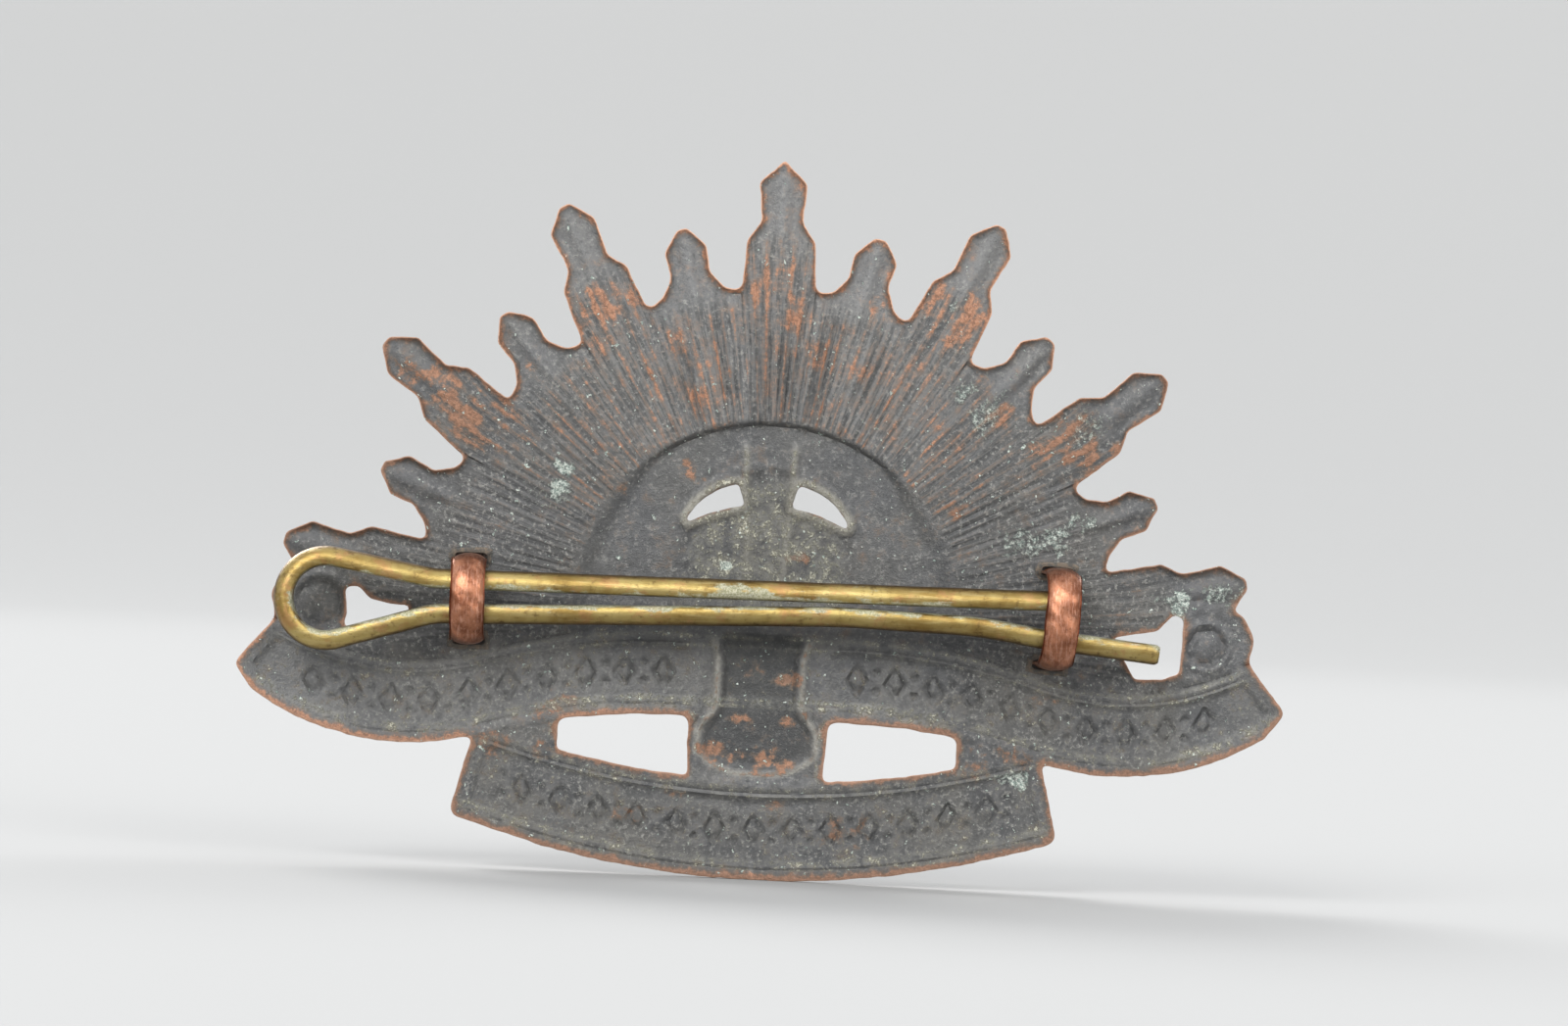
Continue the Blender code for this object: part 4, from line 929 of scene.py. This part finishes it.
# ---- procedural looks ----
class Look:
    """A material whose nodes are made one call at a time."""

    def __init__(self, name):
        self.material = bpy.data.materials.new(name)
        self.material.use_nodes = True
        self.tree = self.material.node_tree
        self.shader = self.tree.nodes["Principled BSDF"]

    def wire(self, value, socket):
        if isinstance(value, bpy.types.NodeSocket):
            self.tree.links.new(value, socket)
        else:
            socket.default_value = value

    def node(self, kind, **settings):
        made = self.tree.nodes.new(kind)
        for key, value in settings.items():
            setattr(made, key, value)
        return made

    def attribute(self, name):
        return self.node("ShaderNodeAttribute", attribute_name=name).outputs["Fac"]

    def place(self):
        """Position on the piece in millimetres."""
        coords = self.node("ShaderNodeTexCoord").outputs["Object"]
        return self.vector("SCALE", coords, scale=1.0 / MM)

    def vector(self, operation, a, b=None, scale=None):
        made = self.node("ShaderNodeVectorMath", operation=operation)
        self.wire(a, made.inputs[0])
        if b is not None:
            self.wire(b, made.inputs[1])
        if scale is not None:
            self.wire(scale, made.inputs["Scale"])
        return made.outputs[0]

    def upright(self):
        """1 on the plate's upright edge, 0 on its back and front."""
        split = self.node("ShaderNodeSeparateXYZ")
        self.wire(self.node("ShaderNodeTexCoord").outputs["Normal"], split.inputs[0])
        return self.step(self.maths("ABSOLUTE", split.outputs["Y"]), 0.5, 0.2)

    def combine(self, x, y, z):
        made = self.node("ShaderNodeCombineXYZ")
        for value, socket in zip((x, y, z), made.inputs):
            self.wire(value, socket)
        return made.outputs[0]

    def maths(self, operation, a, b=0.0, c=0.0):
        made = self.node("ShaderNodeMath", operation=operation)
        for value, socket in zip((a, b, c), made.inputs):
            self.wire(value, socket)
        return made.outputs[0]

    def times(self, a, b):
        return self.maths("MULTIPLY", a, b)

    def add(self, base, value, gain):
        return self.maths("MULTIPLY_ADD", value, gain, base)

    def sway(self, base, noise, gain):
        """Let a noise push a value up and down."""
        return self.add(base, self.maths("SUBTRACT", noise, 0.5), gain)

    def most(self, a, b):
        return self.maths("MAXIMUM", a, b)

    def noise(self, where, scale, detail=4.0, roughness=0.55):
        made = self.node("ShaderNodeTexNoise")
        self.wire(where, made.inputs["Vector"])
        for key, value in (("Scale", scale), ("Detail", detail), ("Roughness", roughness)):
            made.inputs[key].default_value = value
        return made.outputs["Fac"]

    def step(self, value, start, end):
        """Smooth step from 0 at start to 1 at end."""
        made = self.node("ShaderNodeMapRange", interpolation_type="SMOOTHSTEP")
        self.wire(value, made.inputs["Value"])
        made.inputs["From Min"].default_value = min(start, end)
        made.inputs["From Max"].default_value = max(start, end)
        made.inputs["To Min"].default_value = 0.0 if end > start else 1.0
        made.inputs["To Max"].default_value = 1.0 if end > start else 0.0
        return made.outputs["Result"]

    def blend(self, share, a, b):
        made = self.node("ShaderNodeMix", data_type="RGBA")
        self.wire(share, made.inputs["Factor"])
        for value, socket in ((a, made.inputs["A"]), (b, made.inputs["B"])):
            if isinstance(value, tuple):
                value = (*value, 1.0)
            self.wire(value, socket)
        return made.outputs["Result"]

    def coats(self, colour, *coats):
        """Lay colours over one another: each coat is where it shows, how strongly, and its colour."""
        for mask, strength, coat in coats:
            colour = self.blend(self.times(mask, strength), colour, coat)
        return colour

    def level(self, share, a, b):
        """Mix two numbers."""
        made = self.node("ShaderNodeMix", data_type="FLOAT")
        self.wire(share, made.inputs["Factor"])
        self.wire(a, made.inputs["A"])
        self.wire(b, made.inputs["B"])
        return made.outputs["Result"]

    def surface(self, colour, metallic, roughness, height, distance):
        """Connect the finished values; height is in the given number of millimetres."""
        bump = self.node("ShaderNodeBump")
        bump.inputs["Distance"].default_value = distance * MM
        self.wire(height, bump.inputs["Height"])
        self.wire(bump.outputs["Normal"], self.shader.inputs["Normal"])
        self.wire(colour, self.shader.inputs["Base Color"])
        self.wire(metallic, self.shader.inputs["Metallic"])
        self.wire(roughness, self.shader.inputs["Roughness"])
        return self.material


# Linear colours of the struck plate, from dark to pale within each kind
# Among the dark colours, the fold's is painted shade in the fold's hollow, and the groove's darkens where the
# relief lies deeper
FOLD_SHADE_COLOUR, SOOT_STREAK, SOOT_GRAIN, GROOVE_DARK = (
    (0.022, 0.023, 0.023), (0.04, 0.041, 0.041), (0.045, 0.045, 0.044), (0.05, 0.05, 0.048))
PATINA_SHEEN, PATINA_DARK, PATINA_PALE, PATINA_WARM = (
    (0.065, 0.067, 0.07), (0.07, 0.071, 0.073), (0.122, 0.122, 0.123), (0.13, 0.124, 0.11))
# Of the pale colours, the fan's is painted light that pales the upper fan
PALE_STREAK, PALE_RIDGE, FAN_TOP_LIGHT, PALE_GRAIN, PALE_LIP = (
    (0.21, 0.207, 0.2), (0.24, 0.232, 0.215), (0.255, 0.255, 0.25), (0.3, 0.295, 0.272), (0.33, 0.315, 0.265))
# The two browns are a painted-shade and a painted-light copy of the halo round bare copper, and the last is
# bare copper's painted-shade copy low on the badge
BROWN_SHADED, BROWN_LIT, COPPER_SHADED = (0.115, 0.082, 0.058), (0.21, 0.155, 0.12), (0.17, 0.095, 0.06)
COPPER_DARK, COPPER_RAW, COPPER_PALE, COPPER_RIM = (
    (0.2, 0.1, 0.06), (0.44, 0.215, 0.125), (0.6, 0.34, 0.22), (0.62, 0.37, 0.25))
DUST, SAND_DARK, SAND_PALE = (0.26, 0.254, 0.218), (0.2, 0.19, 0.135), (0.6, 0.59, 0.48)
GREEN_DARK, GREEN_PALE = (0.2, 0.27, 0.235), (0.7, 0.74, 0.67)


class PlateFields:
    """Noises and masks that several parts of the struck plate's look share."""

    def __init__(self, look):
        where = look.place()
        self.where = where
        self.broad = look.noise(where, 0.2, 3.0)
        self.cloud = look.noise(where, 0.9, 5.0, 0.62)
        self.grain = look.noise(where, 3.2, 5.0, 0.72)
        self.fine = look.noise(where, 9.0, 3.0, 0.65)
        self.blotch = look.noise(where, 1.8, 5.0, 0.65)
        self.speck = look.noise(where, 2.6, 2.5, 0.55)
        fan = look.combine(look.times(look.attribute("fan_angle"), 1.3),
                           look.times(look.attribute("fan_reach"), 0.22), 0.0)
        self.streak = look.noise(fan, 1.0, 6.0, 0.65)
        names = "ridge", "rim", "copper", "bloom", "grit", "groove", "sheen", "upper_fan", "soot", "lip"
        for name in names:
            setattr(self, name, look.attribute(name))
        self.fluted = look.attribute("streaky")
        self.off_sheen = look.maths("SUBTRACT", 1.0, self.sheen)


def patina(look, at):
    """Dark grey skin: streaky on the fan and painted paler on its upper part as painted light, darker where
    the relief lies deeper, painted shade in the fold's hollow, and pale grains.
    """
    colour = look.blend(look.step(at.cloud, 0.32, 0.68), PATINA_DARK, PATINA_PALE)
    grains = look.times(look.step(at.grain, 0.51, 0.67), look.level(at.off_sheen, 0.4, 0.85))
    return look.coats(
        colour,
        (look.step(at.broad, 0.4, 0.65), 0.5, PATINA_WARM),
        # painted light: the upper fan painted paler
        (at.upper_fan, 0.65, FAN_TOP_LIGHT),
        (look.step(at.streak, 0.48, 0.68), look.level(at.fluted, 0.0, 0.3), PALE_STREAK),
        (at.ridge, 0.4, PALE_RIDGE),
        (look.step(at.streak, 0.58, 0.4), look.level(at.fluted, 0.0, 0.62), SOOT_STREAK),
        # darker where the relief lies deeper
        (at.groove, 0.22, GROOVE_DARK),
        (at.sheen, 0.3, PATINA_SHEEN),
        # painted shade in the fold's hollow, with fewer pale grains there
        (at.soot, 0.95, FOLD_SHADE_COLOUR),
        (grains, look.level(at.soot, 1.0, 0.25), PALE_GRAIN),
        (at.lip, 0.7, PALE_LIP),
        (look.step(at.grain, 0.46, 0.34), 0.45, SOOT_GRAIN))


def wear(look, at):
    """How far the skin is rubbed away: over the plate, and along its edges."""
    patchy = look.level(at.fluted, at.blotch, at.streak)
    ragged = look.maths("SUBTRACT", look.add(look.times(at.cloud, 0.45), patchy, 0.55), 0.5)
    rubbed = look.add(look.times(at.copper, 0.56), at.ridge, 0.3)
    rubbed = look.sway(look.add(rubbed, ragged, 1.9), at.grain, 0.7)
    edges = look.sway(look.times(at.rim, 1.1), at.cloud, 1.6)
    return rubbed, look.add(look.sway(edges, at.grain, 0.8), look.upright(), -0.42)


def bare_copper(look, at):
    """Copper that shows through: painted shade makes it brown low down on the badge, and painted light makes
    it bright along the upper edges.
    """
    # painted shade: bare copper painted browner low on the badge, where the painted top light is weak
    shaded_low = look.most(look.maths("SUBTRACT", 0.55, at.upper_fan), 0.0)
    # the worn rim's copper, painted brighter high up as painted light
    bright = look.times(look.step(at.rim, 0.5, 0.95), look.level(at.upper_fan, 0.3, 0.7))
    colour = look.blend(look.step(at.grain, 0.38, 0.62), COPPER_DARK, COPPER_RAW)
    colour = look.blend(look.times(look.step(at.fine, 0.5, 0.66), 0.5), colour, COPPER_PALE)
    return look.blend(bright, look.blend(shaded_low, colour, COPPER_SHADED), COPPER_RIM)


def struck_copper():
    """Dark patina, copper where the relief rubs, green bloom, and grit in the borders, with painted light
    high up and painted shade low down and in the fold.
    """
    look = Look("oxidised_copper_struck")
    at = PlateFields(look)
    rubbed, edges = wear(look, at)
    # edge copper shows more where the painted top light falls
    edge_copper = look.times(look.step(edges, 0.3, 0.6), look.level(at.upper_fan, 0.85, 1.1))
    worn = look.most(look.step(rubbed, 0.38, 0.64), edge_copper)
    halo = look.most(look.step(rubbed, 0.2, 0.46), look.step(edges, 0.06, 0.4))
    # the halo's brown: a painted-shade copy low down, a painted-light copy high up
    brown = look.blend(at.upper_fan, BROWN_SHADED, BROWN_LIT)
    colour = look.blend(look.times(halo, 0.6), patina(look, at), brown)
    shown = look.maths("MINIMUM", look.times(worn, 0.88), 0.93)
    colour = look.blend(shown, colour, bare_copper(look, at))

    dusty = look.times(look.step(at.grit, 0.28, 0.66), look.step(at.cloud, 0.36, 0.64))
    gritty = look.sway(look.sway(at.grit, at.grain, 2.4), at.cloud, 1.2)
    grit = look.times(look.step(gritty, 0.6, 0.95), 0.8)
    sand = look.blend(look.step(at.fine, 0.42, 0.6), SAND_DARK, SAND_PALE)
    colour = look.blend(grit, look.blend(look.times(dusty, 0.6), colour, DUST), sand)

    bloomed = look.step(look.sway(at.bloom, at.grain, 2.2), 0.5, 1.0)
    bloom = look.most(look.times(bloomed, 0.75), look.times(look.step(at.speck, 0.675, 0.715), 0.9))
    green = look.blend(look.step(at.fine, 0.4, 0.62), GREEN_DARK, GREEN_PALE)
    colour = look.blend(bloom, colour, green)

    dull = look.most(bloom, grit)
    metallic = look.level(dull, look.level(worn, 0.34, 0.5), 0.0)
    roughness = look.level(at.sheen, look.level(at.cloud, 0.42, 0.62), 0.4)
    roughness = look.level(dull, look.level(worn, roughness, 0.46), 0.85)
    height = look.add(look.times(at.fine, 0.4), at.grain, look.level(at.off_sheen, 0.35, 1.0))
    height = look.add(look.add(height, at.streak, look.level(at.fluted, 0.0, 0.8)), dull, 0.5)
    return look.surface(colour, metallic, roughness, height, 0.12)


def loop_copper():
    """Satin brown copper, with lengthwise scratches."""
    look = Look("loop_copper_satin")
    where = look.place()
    brushed = look.noise(look.vector("MULTIPLY", where, (5.0, 0.8, 0.8)), 1.6, 5.0, 0.65)
    cloud = look.noise(where, 0.9, 4.0)
    grain = look.noise(where, 9.0, 3.0, 0.6)
    spotty = look.noise(where, 3.4, 5.0, 0.7)
    brown, orange = (0.2, 0.073, 0.038), (0.42, 0.18, 0.1)
    scratched, stained, rubbed, pitted = (
        (0.55, 0.3, 0.215), (0.13, 0.055, 0.03), (0.6, 0.33, 0.22), (0.09, 0.045, 0.03))
    colour = look.coats(
        look.blend(look.step(cloud, 0.35, 0.65), brown, orange),
        (look.step(brushed, 0.48, 0.66), 0.55, scratched),
        (look.step(spotty, 0.55, 0.68), 0.45, stained),
        (look.step(spotty, 0.44, 0.34), 0.35, rubbed),
        (look.step(grain, 0.58, 0.7), 0.5, pitted))
    height = look.add(look.times(grain, 0.35), brushed, 0.8)
    return look.surface(colour, 0.9, look.level(brushed, 0.27, 0.46), height, 0.03)


def pin_brass():
    """Tarnished brass: olive and gold along the wire, brown and orange spots, pale crust inside, and painted
    shade on the wire's sides.
    """
    look = Look("pin_brass_tarnished")
    where = look.place()
    drawn = look.noise(look.vector("MULTIPLY", where, (0.2, 2.2, 2.2)), 1.6, 6.0, 0.65)
    cloud = look.noise(where, 0.32, 4.0, 0.6)
    mottle = look.noise(where, 1.7, 6.0, 0.7)
    grain = look.noise(where, 8.0, 4.0, 0.65)
    stain = look.noise(look.vector("ADD", where, (9.0, 0.0, 0.0)), 0.55, 5.0, 0.68)
    crust = look.noise(look.vector("MULTIPLY", where, (0.55, 1.4, 1.4)), 0.8, 6.0, 0.72)
    olive, gold, bright = (0.25, 0.162, 0.046), (0.42, 0.32, 0.115), (0.52, 0.41, 0.19)
    brown, orange, side_shade_colour = (0.12, 0.072, 0.026), (0.4, 0.2, 0.09), (0.1, 0.056, 0.018)
    crust_dark, crust_pale = (0.2, 0.24, 0.17), (0.5, 0.52, 0.42)
    # painted shade on the wire's sides, swayed by mottling
    side_shade = look.sway(look.attribute("side_shade"), mottle, 0.8)
    crusted = look.step(look.add(crust, look.attribute("inner"), 0.19), 0.61, 0.7)
    colour = look.coats(
        look.blend(look.step(cloud, 0.35, 0.65), olive, gold),
        (look.step(drawn, 0.46, 0.66), 0.4, bright),
        (look.step(mottle, 0.52, 0.68), 0.65, brown),
        (look.step(stain, 0.53, 0.64), 0.5, orange),
        # the painted shade on the wire's sides
        (look.step(side_shade, 0.08, 0.85), 0.85, side_shade_colour),
        (crusted, 0.65, look.blend(look.step(grain, 0.42, 0.6), crust_dark, crust_pale)))
    pale = look.times(crusted, 0.65)
    roughness = look.level(pale, look.level(mottle, 0.26, 0.48), 0.8)
    height = look.add(look.times(grain, 0.6), drawn, 0.6)
    return look.surface(colour, look.level(pale, 0.88, 0.15), roughness, height, 0.035)


def braze_metal():
    """Dull filler metal, nearly as dark as the plate, with brown and green in its pores; its darkness is
    partly painted shade at the loops' feet.
    """
    look = Look("braze_filler")
    where = look.place()
    lumps = look.noise(where, 2.2, 4.0, 0.6)
    grain = look.noise(where, 9.0, 4.0, 0.65)
    # the dark base is partly painted shade at the loops' feet
    dark, brown, green = (0.07, 0.066, 0.06), (0.15, 0.115, 0.085), (0.27, 0.26, 0.2)
    colour = look.coats(look.blend(look.step(lumps, 0.4, 0.6), dark, brown),
                        (look.step(grain, 0.56, 0.68), 0.55, green))
    height = look.maths("ADD", lumps, look.times(grain, 0.6))
    return look.surface(colour, 0.4, look.level(lumps, 0.5, 0.72), height, 0.07)


# ---- stage, lights and camera ----
FLOOR_REACH, COVE_RADIUS, COVE_SWEEP, FLOOR_SIDES = 1.0, 0.6, 50.0, 96
FLOOR_COLOUR, FLOOR_ROUGHNESS = (0.33, 0.33, 0.326, 1.0), 0.9


def studio_floor(floor_z):
    """Pale floor that sweeps up into a low wall on every side."""
    profile = [(FLOOR_REACH, 0.0)]
    for a in np.radians(np.linspace(0.0, COVE_SWEEP, 17)[1:]):
        profile.append((FLOOR_REACH + COVE_RADIUS * math.sin(a), COVE_RADIUS * (1.0 - math.cos(a))))
    verts, faces = [(0.0, 0.0, floor_z)], []
    for reach, height in profile:
        for a in 2.0 * math.pi * np.arange(FLOOR_SIDES) / FLOOR_SIDES:
            verts.append((reach * math.cos(a), reach * math.sin(a), floor_z + height))
    for i in range(FLOOR_SIDES):
        j = (i + 1) % FLOOR_SIDES
        faces.append((0, 1 + i, 1 + j))
        for k in range(len(profile) - 1):
            near, far = 1 + k * FLOOR_SIDES, 1 + (k + 1) * FLOOR_SIDES
            faces.append((near + i, far + i, far + j, near + j))
    mesh = bpy.data.meshes.new("studio_floor")
    mesh.from_pydata(verts, [], faces)
    mesh.shade_smooth()
    look = bpy.data.materials.new("pale_floor")
    look.use_nodes = True
    shader = look.node_tree.nodes["Principled BSDF"]
    shader.inputs["Base Color"].default_value = FLOOR_COLOUR
    shader.inputs["Roughness"].default_value = FLOOR_ROUGHNESS
    mesh.materials.append(look)
    made = bpy.data.objects.new("studio_floor", mesh)
    bpy.context.scene.collection.objects.link(made)


def soft_sun(name, toward, strength):
    """A broad, distant lamp that shines from the given direction."""
    lamp = bpy.data.lights.new(name, "SUN")
    lamp.energy = strength
    lamp.angle = math.radians(30.0)
    made = bpy.data.objects.new(name, lamp)
    made.rotation_mode = "QUATERNION"
    made.rotation_quaternion = Vector(toward).to_track_quat("Z", "Y")
    bpy.context.scene.collection.objects.link(made)


# The roll is in degrees, the field and the distance in metres; the aim is off the badge's middle
CAMERA_ROLL, FIELD_WIDTH, CAMERA_DISTANCE, SENSOR_WIDTH = 2.8, 0.1052, 0.56, 36.0
AIM_ASIDE, AIM_UP = -1.07, 0.55


def camera(middle):
    """Square to the badge's back and rolled a little, with a margin round the badge."""
    roll = math.radians(CAMERA_ROLL)
    data = bpy.data.cameras.new("camera")
    data.sensor_width = SENSOR_WIDTH
    data.lens = SENSOR_WIDTH * CAMERA_DISTANCE / FIELD_WIDTH
    data.clip_start, data.clip_end = 0.01, 10.0
    made = bpy.data.objects.new("camera", data)
    right = Vector((-math.cos(roll), 0.0, math.sin(roll)))
    up = Vector((math.sin(roll), 0.0, math.cos(roll)))
    turned = Matrix((right, up, Vector((0.0, 1.0, 0.0)))).transposed().to_4x4()
    turned.translation = Vector((middle.x + AIM_ASIDE * MM, CAMERA_DISTANCE, middle.z + AIM_UP * MM))
    made.matrix_world = turned
    bpy.context.scene.collection.objects.link(made)
    bpy.context.scene.camera = made


def sky(low, high):
    """Soft light from all round, stronger from overhead than from the horizon."""
    world = bpy.data.worlds.new("soft_sky")
    bpy.context.scene.world = world
    world.use_nodes = True
    nodes, links = world.node_tree.nodes, world.node_tree.links
    split = nodes.new("ShaderNodeSeparateXYZ")
    links.new(nodes.new("ShaderNodeTexCoord").outputs["Generated"], split.inputs[0])
    grade = nodes.new("ShaderNodeMapRange")
    links.new(split.outputs["Z"], grade.inputs["Value"])
    grade.inputs["To Min"].default_value, grade.inputs["To Max"].default_value = low, high
    links.new(grade.outputs["Result"], nodes["Background"].inputs["Strength"])
    nodes["Background"].inputs["Color"].default_value = (0.96, 0.975, 1.0, 1.0)


def lights():
    """A dim sky, and a key and a fill lamp for each side of the badge."""
    sky(0.6, 1.4)
    for side, depth in (("back", 0.85), ("front", -0.85)):
        soft_sun("key_" + side, (0.4, depth, 0.55), 2.2)
        soft_sun("fill_" + side, (-0.55, depth, 0.4), 1.1)


def add_loop(owner, layout):
    """One loop and the two fillets that hold its feet."""
    name = owner + "_strip"
    strip = link(name, strip_loop(name, layout), loop_look, "badge", owner)
    for place, foot, seed in zip(("upper", "lower"), feet(layout), (1.0, 2.6)):
        node = "braze_" + owner + "_" + place
        name = node + "_fillet"
        collar = link(name, braze_collar(name, layout, foot, seed), filler_look, "badge", node)


copper_look = struck_copper()
loop_look = loop_copper()
brass_look = pin_brass()
filler_look = braze_metal()

plate = link("struck_plate", plate_mesh(), copper_look, "badge", "badge_plate")
add_loop("eye_loop", EYE_LOOP)
add_loop("tail_loop", TAIL_LOOP)
wire = link("pin_wire", split_pin_mesh(), brass_look, "pin", "split_pin")

middle = (CAD_LO + CAD_HI) / 2
studio_floor(CAD_LO.z)
lights()
camera(middle)
bpy.context.scene.view_settings.view_transform = "Standard"
